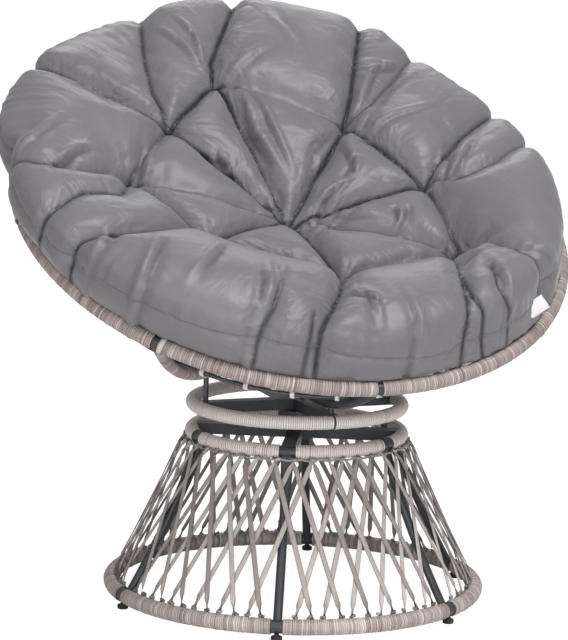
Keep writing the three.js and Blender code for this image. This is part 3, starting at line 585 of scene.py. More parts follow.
def buildBaseStrips():
    look = baseStrips
    for name, lift in (("rising", 0.0), ("falling", look["layer"])):
        pile = newPile()
        for leg in legAngles:
            for offset in look[name]:
                start = leg + offset + rng.normal(0, look["angleSpread"])
                twist = look[name + "Twist"] + rng.normal(0, look["angleSpread"])
                line, normals = stripRun(start, twist, lift)
                layStrip(pile, line, normals, look["width"], look["thickness"], inChair,
                         rng.normal(look[name + "Tone"], look["toneSpread"]))
        raisePile(pile, f"base{name.title()}Strips", "base", stripResin, [f"base_strips_{name}"])

    # a thin lashing strand runs under the top ring, with a knot at each pair of strip ends
    pile = newPile()
    look = lashingLook
    a = fullTurn(8 * look["waves"])
    line = (look["radius"] + look["waveOut"] * np.sin(look["waves"] * a))[:, None] * radial(a)
    line[:, 2] = look["height"] + look["waveUp"] * np.sin(look["waves"] * a + 1)
    layStrip(pile, line, radial(a), look["width"], look["thickness"], inChair, look["tone"], closed=True)
    for offsets, *knotPlace, tone in knotLook["rows"]:
        for leg in legAngles:
            for offset in offsets:
                angle = leg + offset + rng.normal(0, knotLook["angleSpread"])
                knot(pile, angle, *knotPlace, rng.normal(tone, knotLook["toneSpread"]))
    raisePile(pile, "baseLashing", "base", stripResin)


# The knots under the top ring and at the foot: degrees from each leg, radius, height, size and tone
knotLook = {"rows": [([28.0, 37.2, 46.2, 55.4, 4.2, 13.4, 20.6], 184.1, 261.7, 5.2, -0.1),
                     (baseStrips["rising"] + baseStrips["falling"], 290.6, 34.6, 4.6, -0.5)],
            "width": 4.4, "thickness": 1.1, "flatness": 0.42, "lean": 0.35, "angleSpread": 0.3,
            "toneSpread": 0.3}


# A small loop of strand pulled tight round a strip's end
def knot(pile, angle, radius, height, size, tone):
    look = knotLook
    a = math.radians(angle)
    out, side = radial(a), sideways(a)
    lean = rng.normal(0, look["lean"])
    wide = side * math.cos(lean) + np.array([0, 0, 1.0]) * math.sin(lean)
    t = fullTurn(14)
    line = onRing(radius, angle, height) + size * unitRing(t, wide, look["flatness"] * out)
    layStrip(pile, line, unitRing(t, wide, out), look["width"], look["thickness"], inChair, tone, closed=True)


buildBaseRings()
buildLegs()
buildBaseStrips()
print("base made")

# The seat: its wound ring, and the bowl's rim, ribs, hoops and two layers of crossing strips
bowlLook = {"ribs": 8, "bareAtRibs": (9, 4, 10, 10, 10, 10, 10, 11), "bareRibs": (0, 1), "ribRadius": 7.2,
            "hubRadius": 36, "ribIntoHub": 8, "ribWindingFromRim": 15, "ribWindingShorter": 42,
            "hoopRadius": 3.5, "hoopDepths": (44, 86), "strips": 32, "twist": 34.0,
            "innerRadius": 150, "outerRadius": 421, "stripWidth": 8.6, "stripThickness": 1.4,
            "bandWidth": 9, "bandOut": 1.9, "seatRingStart": -90.5, "seatRingGap": 3, "seatRingToneWithPaintedLight": 1.9,
            "rimTone": -0.1}
ribStep = 360 / bowlLook["ribs"]
ribAngles = [-90 + ribStep * i for i in range(bowlLook["ribs"])]
rimPolar = math.asin(chair["rim"] / bowlSphere)
hoopSphere = bowlSphere - bowlLook["ribRadius"] - 0.3 - bowlLook["hoopRadius"]
outerStripSphere = hoopSphere - bowlLook["hoopRadius"] - 1.2 - bowlLook["stripThickness"] / 2
innerStripSphere = outerStripSphere - bowlLook["stripThickness"] - 0.8
hoopPolars = [math.acos((bowlCentre + depth) / hoopSphere) for depth in bowlLook["hoopDepths"]]


def fromCentre(polar, a):  # directions out from the bowl's centre
    return np.stack([np.sin(polar) * np.cos(a), np.sin(polar) * np.sin(a), -np.cos(polar) + 0 * a], -1)


def buildSeatRing():
    pile = newPile()
    radius = chair["seatRing"]
    girth = 2 * math.pi * radius
    tube(pile, ringPath(radius, chair["seatHeight"], 0), girth, chair["seatSteel"], inChair)
    raisePile(pile, "seatRingTube", "seat", powderCoat, ("seat_ring",))
    pile = newPile()
    # the winding's tone is raised to paint in light: painted light for the fill it misses in the shade under
    # the bowl
    windStrand(pile, ringPath(radius, chair["seatHeight"], bowlLook["seatRingStart"]),
               girth - bowlLook["seatRingGap"], chair["seatSteel"], inChair,
               baseTone=bowlLook["seatRingToneWithPaintedLight"])
    raisePile(pile, "seatRingWinding", "seat", windingResin, ("seat_ring_winding",))


def buildRim():
    pile = newPile()
    radius = chair["rim"]
    tube(pile, ringPath(radius, 0, 0), 2 * math.pi * radius, chair["rimSteel"], inRim)
    raisePile(pile, "rimTube", "seat", powderCoat, ("rim_tube",))
    pile = newPile()
    for i, angle in enumerate(ribAngles):
        bare, bareNext = bowlLook["bareAtRibs"][i], bowlLook["bareAtRibs"][(i + 1) % bowlLook["ribs"]]
        windStrand(pile, ringPath(radius, 0, angle + math.degrees(bare / 2 / radius)),
                   radius * math.radians(ribStep) - (bare + bareNext) / 2, chair["rimSteel"], inRim,
                   baseTone=bowlLook["rimTone"])
    raisePile(pile, "rimWinding", "seat", windingResin, numbered("rim_winding", bowlLook["ribs"]))


def buildRibs():
    look = bowlLook
    bare, wound = newPile(), newPile()
    hubPolar = (look["hubRadius"] - look["ribIntoHub"]) / bowlSphere
    length = (rimPolar - hubPolar) * bowlSphere
    for i, angle in enumerate(ribAngles):
        tube(bare, ribPath(angle, rimPolar), length, look["ribRadius"], inRim, sides=20)
        if i not in look["bareRibs"]:
            windStrand(wound, ribPath(angle, rimPolar - look["ribWindingFromRim"] / bowlSphere),
                       length - look["ribWindingShorter"], look["ribRadius"] + 0.1, inRim, sides=20,
                       look=ribStrandLook)
    raisePile(bare, "bowlRibTubes", "seat", powderCoat, numbered("bowl_rib", look["ribs"]))
    raisePile(wound, "bowlRibWinding", "seat", windingResin)
    pile = newPile()
    for depth, polar in zip(look["hoopDepths"], hoopPolars):
        radius = hoopSphere * math.sin(polar)
        tube(pile, ringPath(radius, -depth, 0), 2 * math.pi * radius, look["hoopRadius"], inRim, sides=14)
    raisePile(pile, "bowlHoops", "seat", powderCoat, ("bowl_hoop_upper", "bowl_hoop_lower"))


def buildBowlStrips():
    look = bowlLook
    centre = np.array([0, 0, bowlCentre])
    share = np.linspace(0, 1, 20)
    for name, sphere in (("outer", outerStripSphere), ("inner", innerStripSphere)):
        pile = newPile()
        top, bottom = math.asin(look["outerRadius"] / sphere), math.asin(look["innerRadius"] / sphere)
        low, twist = (0, look["twist"]) if name == "outer" else (look["twist"], -look["twist"])
        for k in range(look["strips"]):
            start = -90 + 360 * (k + 0.5) / look["strips"] + low
            a = np.radians(start + twist * share + rng.normal(0, 0.3))
            out = fromCentre(bottom * (1 - share) + top * share, a)
            layStrip(pile, sphere * out + centre, out, look["stripWidth"], look["stripThickness"], inRim,
                     rng.normal(0.2, 0.3))
        if name == "outer":  # the band that ties the strips' lower ends together
            out = fromCentre(bottom, fullTurn(120))
            layStrip(pile, (sphere + look["bandOut"]) * out + centre, out, look["bandWidth"],
                     look["stripThickness"], inRim, 0.1, closed=True)
        raisePile(pile, f"bowl{name.title()}Strips", "seat", paleStrip, [f"bowl_strips_{name}"])


# Pale ties where strips cross the thin hoops, wrapped round both and leaning by degrees
bowlTieLook = {"loop": 5.6, "lean": 24, "leanSpread": 8, "reach": 8, "width": 7.5, "thickness": 1.2,
               "tone": 0.5, "toneSpread": 0.4}


def buildBowlTies():
    look = bowlTieLook
    pile = newPile()
    bottom = math.asin(bowlLook["innerRadius"] / outerStripSphere)
    top = math.asin(bowlLook["outerRadius"] / outerStripSphere)
    t = fullTurn(16)
    for depth, polar in zip(bowlLook["hoopDepths"], hoopPolars):
        radius = hoopSphere * math.sin(polar)
        share = (polar - bottom) / (top - bottom)
        for k in range(bowlLook["strips"]):
            a = math.radians(-90 + 360 * (k + 0.5) / bowlLook["strips"] + bowlLook["twist"] * share)
            down = -math.cos(polar) * radial(a) - np.array([0, 0, math.sin(polar)])
            ring = unitRing(t, down, fromCentre(polar, a))
            along = sideways(a)
            lean = math.radians(rng.normal(look["lean"], look["leanSpread"]))
            line = radius * radial(a) - np.array([0, 0, depth]) + look["loop"] * ring
            line += along * (look["reach"] * math.tan(lean) * np.cos(t))[:, None]
            layStrip(pile, line, ring, look["width"], look["thickness"], inRim,
                     rng.normal(look["tone"], look["toneSpread"]), closed=True)
    raisePile(pile, "bowlTies", "seat", paleStrip)


# Ties on the rim beside the ribs, a turn or two of paler strand: rib, place along the rim and width in mm
rimTieLook = {"ties": [(1, -4.5, 3.0), (2, -9, 5), (3, 9, 5), (4, -9, 5), (5, 9, 5), (6, -9, 5),
                       (7, 10.5, 8)],
              "proud": 1.1, "slant": 1.6, "thickness": 0.9, "tone": -0.1, "toneSpread": 0.2}


def buildRimTies():
    look = rimTieLook
    pile = newPile()
    radius = chair["rim"]
    outer = chair["rimSteel"] + chair["winding"] + look["proud"]
    t = fullTurn(28)
    for rib, offset, width in look["ties"]:
        out = radial(math.radians(ribAngles[rib]) + (offset + look["slant"] * np.sin(t)) / radius)
        ring = unitRing(t, out, np.array([0, 0, 1.0]))
        layStrip(pile, radius * out + outer * ring, ring, width, look["thickness"], inRim,
                 rng.normal(look["tone"], look["toneSpread"]), closed=True)
    raisePile(pile, "rimTies", "seat", paleStrip)


buildSeatRing()
buildRim()
buildRibs()
buildBowlStrips()
buildBowlTies()
buildRimTies()
shownNodes = {"base_cross": powderCoat, "seat_cross": powderCoat, "swivel_lower_hub": powderCoat,
              "swivel_upper_hub": powderCoat, "bowl_hub": powderCoat, "swivel_bearing": zincPlate,
              "swivel_bolt": zincPlate}
for nodeName, finish in shownNodes.items():
    materials = frame["nodes"][nodeName].data.materials
    materials.clear()
    materials.append(finish)
print("seat and bowl made")

# The cushion, measured from the middle of the rim: across, toward the front and up, in mm. Three rows after
# the tufts say how high and how far out the lobe after each tuft reaches, and how far out the notch at each
cushionLook = {
    "reach": 468, "shift": (-22, 28), "crown": 116, "undersideDepth": 190, "flatRadius": 250,
    "tufts": [(10, 215, 10), (233, 165, 15), (228, -10, 30), (137, -165, 45), (-62, -275, 60),
              (-172, -170, 40), (-277, -38, 25), (-180, 105, 5)],
    "middle": (-8, 15, -25),
    "lobeCrowns": [1, 1, 0.84, 1.07, 0.8, 0.87, 0.98, 1],
    "lobeReaches": [1, 0.985, 0.985, 1.03, 1.015, 1.0, 0.99, 1],
    "tuftReaches": [1, 1, 0.985, 1.055, 1.0, 1.0, 0.965, 1],
    "notchCrown": 0.95, "notch": 3, "innerPuff": 50, "middlePuff": 44, "seamHeight": 62, "clearance": 3,
    "rows": 112, "columns": 240, "voxel": 0.006, "relaxings": 2, "calmings": 7,
    "seamHeights": [(0, 54), (12, 44), (30, 46), (60, 62), (120, 68), (240, 68), (272, 73), (284, 62),
                    (293, 58), (302, 64), (323, 62), (340, 68), (352, 60), (360, 54)],
    "creases": {"atTufts": 62, "spokeWidth": 38, "chordWidth": 44, "outerWidth": 50, "outerNarrowing": 16,
                "dimple": 64, "dimpleWidth": 84, "pit": 9, "tightWidth": 5.5, "tightShare": 0.62,
                "tightDepth": 35, "tightTuft": 11},
    "cloth": {"quality": 5, "mass": 0.3, "tension_stiffness": 22, "compression_stiffness": 22,
              "shear_stiffness": 12, "bending_stiffness": 4.0, "shrink_min": -0.02, "use_pressure": True,
              "uniform_pressure_force": 4.0},
    "held": {"under": 12, "outside": 330, "below": -90, "foldsAbove": -60},
    "frames": 16, "cap": 0.018, "moveEvenings": 6,
    "foldEvenings": 4, "evenWidth": 9.0, "foldRelief": 0.009, "foldWidth": 7.0,
    "shade": {"depth": 48, "over": 34, "deep": 0.4, "lineWidth": 3.8, "strength": 1.5, "drawnWidth": 38,
              "drawnStrength": 1.2},
    # folds from the middle to each tuft and from each tuft to the next: depth in mm and how dark the painted
    # shade along them is
    "spokes": [(40, 0.7), (34, 0.4), (40, 0.9), (44, 1.0), (38, 0.9), (42, 0.9), (24, 0.1), (34, 0.6)],
    "chords": [(42, 0.6), (38, 0.5), (40, 0.8), (26, 0.0), (44, 1.0), (30, 0.3), (42, 0.9), (42, 0.6)],
}
# Creases beyond the net of tufts, as lines of (across, front) points: depth in mm and painted shade at each
# end
outerCreases = [
    ([(13, 218), (-36, 316), (-71, 375), (-102, 418), (-106, 490)], 55, 16, 0.9, 1.0),
    ([(-108, 392), (-122, 430), (-128, 480)], 3, 9, 0.3, 0.9),
    ([(217, 144), (194, 230), (171, 295), (153, 366), (144, 416), (136, 480)], 50, 14, 0.5, 1.0),
    ([(171, 295), (164, 360), (184, 400), (216, 450)], 10, 13, 0.8, 0.9),
    ([(217, 144), (270, 225), (330, 290), (390, 340)], 46, 8, 0.5, 0.3),
    ([(220, 291), (214, 345), (240, 385), (264, 440)], 5, 11, 0.5, 0.9),
    ([(-177, 99), (-230, 120), (-284, 146), (-322, 159), (-376, 173), (-415, 174), (-450, 192)],
     55, 15, 0.6, 0.9),
    ([(-143, 332), (-170, 379), (-193, 401), (-212, 470)], 4, 16, 0.3, 1.0),
    ([(-70, -268), (-62, -320), (-30, -380), (20, -470), (24, -520)], 62, 26, 1.0, 1.0),
    ([(135, -170), (161, -225), (190, -300), (232, -404), (250, -450)], 60, 16, 1.0, 0.9),
    ([(135, -170), (187, -196), (250, -260), (322, -345), (350, -380)], 41, 8, 0.6, 0.3),
    ([(229, -11), (260, -40), (315, -95), (403, -165), (440, -185)], 55, 14, 0.8, 0.5),
    ([(229, -11), (280, 12), (343, -5), (422, -60), (470, -80)], 43, 11, 0.5, 0.3),
    ([(-174, -173), (-250, -215), (-320, -275), (-385, -330), (-420, -370)], 60, 13, 0.8, 0.5),
    ([(-174, -173), (-183, -245), (-172, -340), (-150, -453), (-145, -500)], 43, 11, 0.7, 0.6),
    ([(-277, -38), (-353, -12), (-430, -18), (-500, -58)], 58, 12, 0.6, 0.4),
    ([(-277, -38), (-300, 20), (-319, 51), (-384, 61), (-433, 96), (-480, 125)], 38, 12, 0.4, 0.9),
]
# Tucks of loose cloth: a narrow fold that stands up along a line, with its height and half width in mm
tucks = [
    ([(-132, -404), (-102, -350), (-82, -298)], 5, 6), ([(-98, -424), (-78, -367), (-77, -312)], 5, 5),
    ([(-29, -254), (-22, -159), (2, -77)], 6, 7), ([(-9, -260), (6, -158), (19, -77)], 5, 6),
    ([(-162, -144), (-92, -104), (-55, -12)], 6, 6), ([(-220, -136), (-240, -57), (-270, 9)], 5, 7),
    ([(-473, -51), (-426, -88), (-374, -133)], 4, 8), ([(-439, -4), (-377, -46), (-340, -70)], 6, 8),
    ([(-414, 217), (-384, 188), (-363, 157)], 6, 7), ([(-377, 325), (-332, 252), (-298, 197)], 7, 9),
    ([(-293, 316), (-242, 263), (-203, 213)], 6, 9), ([(-145, 276), (-168, 351), (-209, 422)], 6, 9),
    ([(-123, 279), (-149, 338)], 5, 8), ([(-32, 329), (-1, 361), (-6, 423)], 7, 8),
    ([(55, 362), (57, 432), (49, 464)], 5, 8), ([(173, 244), (246, 223), (303, 266)], 4, 8),
    ([(250, 262), (300, 235), (360, 250)], 4, 8), ([(230, 280), (236, 327), (230, 389)], 5, 8),
    ([(137, 106), (159, 68), (157, 96)], 6, 6), ([(154, -187), (214, -278), (274, -302)], 5, 7),
    ([(123, -119), (226, -237), (266, -261)], 4, 7), ([(119, -112), (203, -148), (283, -168)], 4, 7),
    ([(224, 40), (264, -36), (272, -74)], 6, 7), ([(221, 47), (296, -43), (330, -95)], 6, 7),
    ([(120, -145), (73, -100), (47, -29)], 6, 7), ([(123, -128), (122, -55), (98, -24)], 6, 7),
    ([(-22, 79), (60, -21), (115, -45)], 5, 7), ([(-19, 90), (77, 33), (127, 57)], 5, 7),
    ([(-39, 62), (-27, -38), (-39, -124)], 5, 7), ([(85, -292), (77, -354), (64, -411)], 4, 9),
    ([(-69, -260), (-12, -302), (35, -326)], 4, 9), ([(-346, -275), (-287, -239), (-247, -174)], 4, 9),
]


def smoothCurve(rows, count):  # Catmull-Rom through rows of points, evenly in row number
    rows = np.asarray(rows)
    t = np.linspace(0, len(rows) - 1, count)
    i = np.clip(t.astype(int), 0, len(rows) - 2)
    u = (t - i)[:, None, None]
    p0, p1 = rows[np.maximum(i - 1, 0)], rows[i]
    p2, p3 = rows[i + 1], rows[np.minimum(i + 2, len(rows) - 1)]
    return 0.5 * (2 * p1 + (p2 - p0) * u + (2 * p0 - 5 * p1 + 4 * p2 - p3) * u ** 2
                  + (3 * p1 - p0 - 3 * p2 + p3) * u ** 3)


def cushionForm():
    look = cushionLook
    cushionSphere = innerStripSphere - bowlLook["stripThickness"] / 2 - look["clearance"]
    rimInside = chair["rim"] - chair["rimSteel"] - chair["winding"] - strandLook["proud"]
    columns = look["columns"]
    angle = np.linspace(-90, 270, columns, endpoint=False)
    tufts = np.array(look["tufts"], float)
    tuftAngles = (np.degrees(np.arctan2(-tufts[:, 1], tufts[:, 0])) + 90) % 360 - 90
    order = np.argsort(tuftAngles)
    tuftAngles, tufts = tuftAngles[order], tufts[order]
    count = len(tufts)
    position = np.interp(angle, np.concatenate([[tuftAngles[-1] - 360], tuftAngles, [tuftAngles[0] + 360]]),
                         np.arange(-1, count + 1))
    lobe = np.floor(position).astype(int) % count
    across = position - np.floor(position)
    puff = np.sin(np.pi * across) ** 0.6

    def between(values):  # from the tuft before to the tuft after
        return values[lobe] * (1 - across) + values[(lobe + 1) % count] * across

    def ordered(key):
        return np.array(look[key])[order]

    tuftRadius = between(np.hypot(tufts[:, 0], tufts[:, 1]))
    tuftHeight = between(tufts[:, 2])
    crown = look["crown"] * (look["notchCrown"] * (1 - puff) + ordered("lobeCrowns")[lobe] * puff)
    notchReach = between(ordered("tuftReaches"))
    reach = look["reach"] * (notchReach * (1 - puff) + ordered("lobeReaches")[lobe] * puff)
    reach = reach - look["notch"] * (1 - puff)
    direction = radial(np.radians(angle))[:, :2]
    shift = np.array(look["shift"], float)

    def row(radius, height, share):  # the share says how far the points move with the cushion's shift
        flat = np.broadcast_to(np.asarray(radius, float), (columns,))[:, None] * direction + shift * share
        return np.concatenate([flat, np.broadcast_to(np.asarray(height, float), (columns,))[:, None]], 1)

    def onSphere(r):
        return bowlCentre - math.sqrt(cushionSphere ** 2 - r ** 2)

    # from the middle of the underside up the bowl, over the rim, round the side and in over the top
    rows = [row(0.5, -look["undersideDepth"], 0)]
    for share in (0.17, 0.33, 0.57, 0.72, 0.85, 0.94):
        r = share * rimInside
        h = onSphere(r)
        if r < look["flatRadius"]:
            s = (r / look["flatRadius"]) ** 2
            h = -look["undersideDepth"] * (1 - s) + onSphere(look["flatRadius"]) * s
        rows.append(row(r, h, 0))
    seam = look["seamHeight"]
    rows += [row(rimInside - 3, 5, 0), row(rimInside + 3, 13.5, 0), row(chair["rim"] + 3, 15, 0.06)]
    for share, height, shiftShare in ((0.985, 26, 0.5), (1.0, seam * 0.75, 0.85), (0.995, seam, 0.95),
                                      (0.99, crown * 0.8, 1), (0.96, crown * 0.95, 1), (0.9, crown, 0.95)):
        rows.append(row(reach * share, height, shiftShare))
    ringTop = tuftHeight + look["innerPuff"]
    for share, rise in ((0.66, 0.97), (0.42, 0.82), (0.2, 0.52), (0.0, 0.0)):
        rows.append(row(tuftRadius * (1 - share) + reach * share, ringTop + (crown - ringTop) * rise, share))
    centreTop = look["middle"][2] + look["middlePuff"]
    for share in (0.8, 0.58, 0.36, 0.16):
        rows.append(row(tuftRadius * share, centreTop + (ringTop - centreTop) * share ** 1.3, 0))
    rows.append(row(0.5, centreTop, 0))
    return smoothCurve(rows, look["rows"])


def segmentDistance(points, a, b):  # distance to a stretch from a to b, and the share of the way along it
    ab = b - a
    t = np.clip(((points - a) @ ab) / (ab @ ab), 0, 1)
    return np.linalg.norm(points - (a + t[:, None] * ab), axis=1), t


def stretches(xy, line):  # for each stretch of a line: distance, share of the whole way, distance to the left
    count = len(line) - 1
    for k in range(count):
        a, b = np.array(line[k], float), np.array(line[k + 1], float)
        d, t = segmentDistance(xy, a, b)
        left = np.array([a[1] - b[1], b[0] - a[0]]) / np.linalg.norm(b - a)
        yield d, (k + t) / count, (xy - a) @ left


def acrossAndFront(local):
    return np.stack([local[:, 0], -local[:, 1]], -1)


def netOfTufts():
    middle = np.array(cushionLook["middle"][:2], float)
    tufts = [np.array(t[:2], float) for t in cushionLook["tufts"]]
    return middle, tufts, tufts[1:] + tufts[:1]


def rounded(distance, width):
    share = 1 - np.clip(distance / width, 0, 1)
    return 1 - np.sqrt(1 - share ** 2)


# How deep each point of the top is drawn in by the stitched tufts and the creases between them, in mm.
# Stuffing makes each crease's sides round, so the depth falls like a quarter circle away from its line.
def creaseDepth(points):
    look = cushionLook["creases"]
    xy = acrossAndFront(points)
    depth = np.zeros(len(points))
    tight = np.zeros(len(points), bool)  # where the fold is closed and can't be filled out
    middle, tufts, nextTufts = netOfTufts()
    for tuft, nextTuft, spoke, chord in zip(tufts, nextTufts, cushionLook["spokes"], cushionLook["chords"]):
        for a, b, deepMid, width in ((middle, tuft, spoke[0], look["spokeWidth"]),
                                     (tuft, nextTuft, chord[0], look["chordWidth"])):
            d, t = segmentDistance(xy, a, b)
            deep = look["atTufts"] + (deepMid - look["atTufts"]) * np.sin(np.pi * t) ** 0.7
            depth = np.maximum(depth, deep * rounded(d, width))
            tight |= (d < look["tightWidth"]) & (np.abs(t - 0.5) > 0.2)
    for line, deepStart, deepEnd, *shades in outerCreases:
        for d, share, left in stretches(xy, line):
            deep = deepStart + (deepEnd - deepStart) * share ** 0.8
            width = look["outerWidth"] - look["outerNarrowing"] * share
            depth = np.maximum(depth, deep * rounded(d, width))
            closed = (share < look["tightShare"]) & (deepStart > look["tightDepth"])
            tight |= (d < look["tightWidth"]) & closed
    for tuft in tufts + [middle]:
        d = np.linalg.norm(xy - tuft, axis=1)
        depth = np.maximum(depth, look["dimple"] * rounded(d, look["dimpleWidth"]))
        depth = depth + look["pit"] * np.exp(-(d / look["pit"]) ** 2)
        tight |= d < look["tightTuft"]
    return depth, tight


# How close each point lies to a closed fold: 1 on its line, falling off sideways, fainter where it opens
def foldCloseness(xy, width, sharp):
    middle, tufts, nextTufts = netOfTufts()
    lines = [(line, start, end, (start + end) / 2) for line, *depths, start, end in outerCreases]
    for tuft, nextTuft, spoke, chord in zip(tufts, nextTufts, cushionLook["spokes"], cushionLook["chords"]):
        lines += [([middle, tuft], 0.85, 1.0, spoke[1]), ([tuft, nextTuft], 1.0, 1.0, chord[1])]
    close = np.zeros(len(xy))
    for line, start, end, middleShare in lines:
        for d, share, left in stretches(xy, line):
            ends = start * (1 - share) + end * share
            strength = ends + (middleShare - ends) * np.sin(np.pi * share) ** 0.5
            near = np.exp(-d / width) if sharp else np.exp(-(d / width) ** 2)
            close = np.maximum(close, strength * near)
    return close


def fadeAtEnds(share):
    return np.sin(np.pi * np.clip(share, 0.04, 0.96)) ** 0.7


# Beside each tuck, on its closed side: a dark line of painted shade and a shallow valley, placed in widths of
# the tuck
tuckLook = {"darkness": 0.055, "darkPlace": 1.5, "darkWidth": 3.0, "darkReach": 2.4,
            "valley": 0.6, "valleyPlace": 1.7, "valleyReach": 3.4}
# Gathers: height, how many go round, and the lengths in mm over which they rise and fade
gatherLook = {"tuftHeight": 1.1, "tuftFolds": (9, 14), "tuftRise": 14, "tuftFade": 17, "tuftDepth": 60,
              "seamHeight": 1.7, "seamFolds": (118, 61), "seamRise": 5, "seamFade": 20,
              "grooveDepth": 1.6, "grooveWidth": 3.6, "sideFrom": 400, "sideFade": 30}


def tuckShade(xy):
    look = tuckLook
    shade = np.zeros(len(xy))
    for line, height, width in tucks:
        for d, share, left in stretches(xy, line):
            closedSide = np.exp(-((left - look["darkPlace"] * width) / look["darkWidth"]) ** 2)
            strength = look["darkness"] * height * fadeAtEnds(share) * (d < look["darkReach"] * width)
            shade = np.maximum(shade, strength * closedSide)
    return shade


# Small relief laid on the filled cushion: tucks, gathers round the tufts and along the side seam
def clothRelief(local):
    xy = acrossAndFront(local)
    ridge = np.zeros(len(local))
    valley = np.zeros(len(local))
    for line, height, width in tucks:
        for d, share, left in stretches(xy, line):
            strength = height * fadeAtEnds(share)
            ridge = np.maximum(ridge, strength * np.exp(-(d / width) ** 2))
            beside = np.exp(-((left - tuckLook["valleyPlace"] * width) / width) ** 2)
            beside *= d < tuckLook["valleyReach"] * width
            valley = np.maximum(valley, tuckLook["valley"] * strength * beside)
    relief = np.where(local[:, 2] > 0, ridge - valley, 0)
    look = gatherLook
    few, many = look["tuftFolds"]
    for number, (x, f, h) in enumerate(cushionLook["tufts"] + [cushionLook["middle"]]):
        dx, dy = xy[:, 0] - x, xy[:, 1] - f
        d = np.hypot(dx, dy)
        theta = np.arctan2(dy, dx)
        folds = np.sin(few * theta + number) + 0.7 * np.sin(many * theta + 2.3 * number)
        folds *= look["tuftHeight"] * (d / look["tuftRise"]) * np.exp(-d / look["tuftFade"])
        relief += np.where(local[:, 2] > -look["tuftDepth"], folds, 0)
    angle = np.arctan2(local[:, 1], local[:, 0])
    onSide = np.clip((np.hypot(local[:, 0], local[:, 1]) - look["sideFrom"]) / look["sideFade"], 0, 1)
    onSide *= local[:, 2] > 0
    above = local[:, 2] - seamLine(angle)
    fine, coarse = look["seamFolds"]
    gather = np.sin(fine * angle + 3 * np.sin(7 * angle)) * (0.6 + 0.4 * np.sin(19 * angle + 1))
    gather = gather + 0.6 * np.sin(coarse * angle + 2 * np.sin(5 * angle))
    gather *= look["seamHeight"] * np.exp(-above / look["seamFade"]) * np.clip(above / look["seamRise"], 0, 1)
    relief += onSide * np.where(above > 0, gather, 0)
    relief -= onSide * look["grooveDepth"] * np.exp(-(above / look["grooveWidth"]) ** 2)
    return relief


def seamLine(angle):  # height of the side seam over the rim, round the cushion
    heights = cushionLook["seamHeights"]
    turn = (np.degrees(angle) + 90) % 360
    return np.interp(turn, [h[0] for h in heights], [h[1] for h in heights]) + 2 * np.sin(5 * angle + 1)


def meshValues(mesh, key="co"):
    values = np.empty(len(mesh.vertices) * 3, np.float32)
    mesh.vertices.foreach_get(key, values)
    return values.reshape(-1, 3).astype(float)


def toRimFrame(points):
    p = (points - np.array([axisX, axisY, 0])) * 1000
    x, y, z = p[:, 0], p[:, 1] - chair["rimSetback"], p[:, 2] - chair["rimHeight"]
    return np.stack([x, y * math.cos(tilt) + z * math.sin(tilt),
                     -y * math.sin(tilt) + z * math.cos(tilt)], -1)


def evenOut(mesh, values, times, share=None):  # spreads values a little to neighbouring points of the mesh
    edges = np.empty(len(mesh.edges) * 2, np.int32)
    mesh.edges.foreach_get("vertices", edges)
    a, b = edges[::2], edges[1::2]
    count = len(mesh.vertices)
    near = np.bincount(a, minlength=count) + np.bincount(b, minlength=count)
    values = values.reshape(count, -1).astype(float)
    share = np.full(count, 0.5) if share is None else share
    for again in range(times):
        mean = np.stack([(np.bincount(a, column[b], count) + np.bincount(b, column[a], count)) / near
                         for column in values.T], -1)
        values = values + (mean - values) * share[:, None]
    return values


def applyModifiers(piece):
    bpy.context.view_layer.update()
    graph = bpy.context.evaluated_depsgraph_get()
    result = bpy.data.meshes.new_from_object(piece.evaluated_get(graph))
    piece.modifiers.clear()
    old = piece.data
    piece.data = result
    bpy.data.meshes.remove(old)


def addSmooth(piece, name, iterations):
    smooth = piece.modifiers.new(name, "SMOOTH")
    smooth.iterations = iterations
    smooth.factor = 0.5


def buildCushion():
    look = cushionLook
    form = cushionForm()
    pile = newPile()
    layGrid(pile, form, np.zeros((form.shape[0], form.shape[1] + 1, 2)))
    points = np.concatenate(pile["points"])
    mesh = bpy.data.meshes.new("cushionForm")
    mesh.from_pydata(points.tolist(), [], np.concatenate(pile["faces"]).tolist())
    mesh.update()
    normals = np.array([v.normal for v in mesh.vertices])
    if normals[-400:, 2].mean() < 0:
        mesh.flip_normals()
        mesh.update()
        normals = -normals
    onTop = (np.hypot(points[:, 0], points[:, 1]) < 300) & (normals[:, 2] > 0.2)
    fade = np.where(onTop, 1, np.clip((points[:, 2] - 12) / 30, 0, 1) * (normals[:, 2] > -0.6))
    normals[onTop] = [0, 0, 1]  # the middle is drawn straight down
    points = points - (creaseDepth(points)[0] * fade)[:, None] * normals
    setValues(mesh.vertices, "co", inRim(points))
    mesh.update()
    cushion = addObject("cushionPad", mesh)
    remesh = cushion.modifiers.new("remesh", "REMESH")
    remesh.mode = "VOXEL"
    remesh.voxel_size = look["voxel"]
    addSmooth(cushion, "relax", look["relaxings"])
    applyModifiers(cushion)
    print("cushion form has", len(cushion.data.vertices), "points")
    inflate(cushion)
    addSmooth(cushion, "calm", look["calmings"])
    divide = cushion.modifiers.new("divide", "SUBSURF")
    divide.levels = divide.render_levels = 1
    applyModifiers(cushion)
    mesh = cushion.data
    places = meshValues(mesh)
    local = toRimFrame(places)
    places += clothRelief(local)[:, None] / 1000 * meshValues(mesh, "normal")
    xy = acrossAndFront(local)
    overRim = np.clip(local[:, 2] / 20, 0, 1)
    atFolds = np.clip(2 * foldCloseness(xy, look["evenWidth"], False) * overRim, 0, 0.7)
    places = evenOut(mesh, places, look["foldEvenings"], atFolds)
    sunk = look["foldRelief"] * foldCloseness(xy, look["foldWidth"], True) * overRim
    places -= sunk[:, None] * np.array(rimUp)
    setValues(mesh.vertices, "co", places)
    setValues(mesh.polygons, "use_smooth", np.full(len(mesh.polygons), True), bool)
    mesh.update()
    finishCushion(cushion)
    return cushion


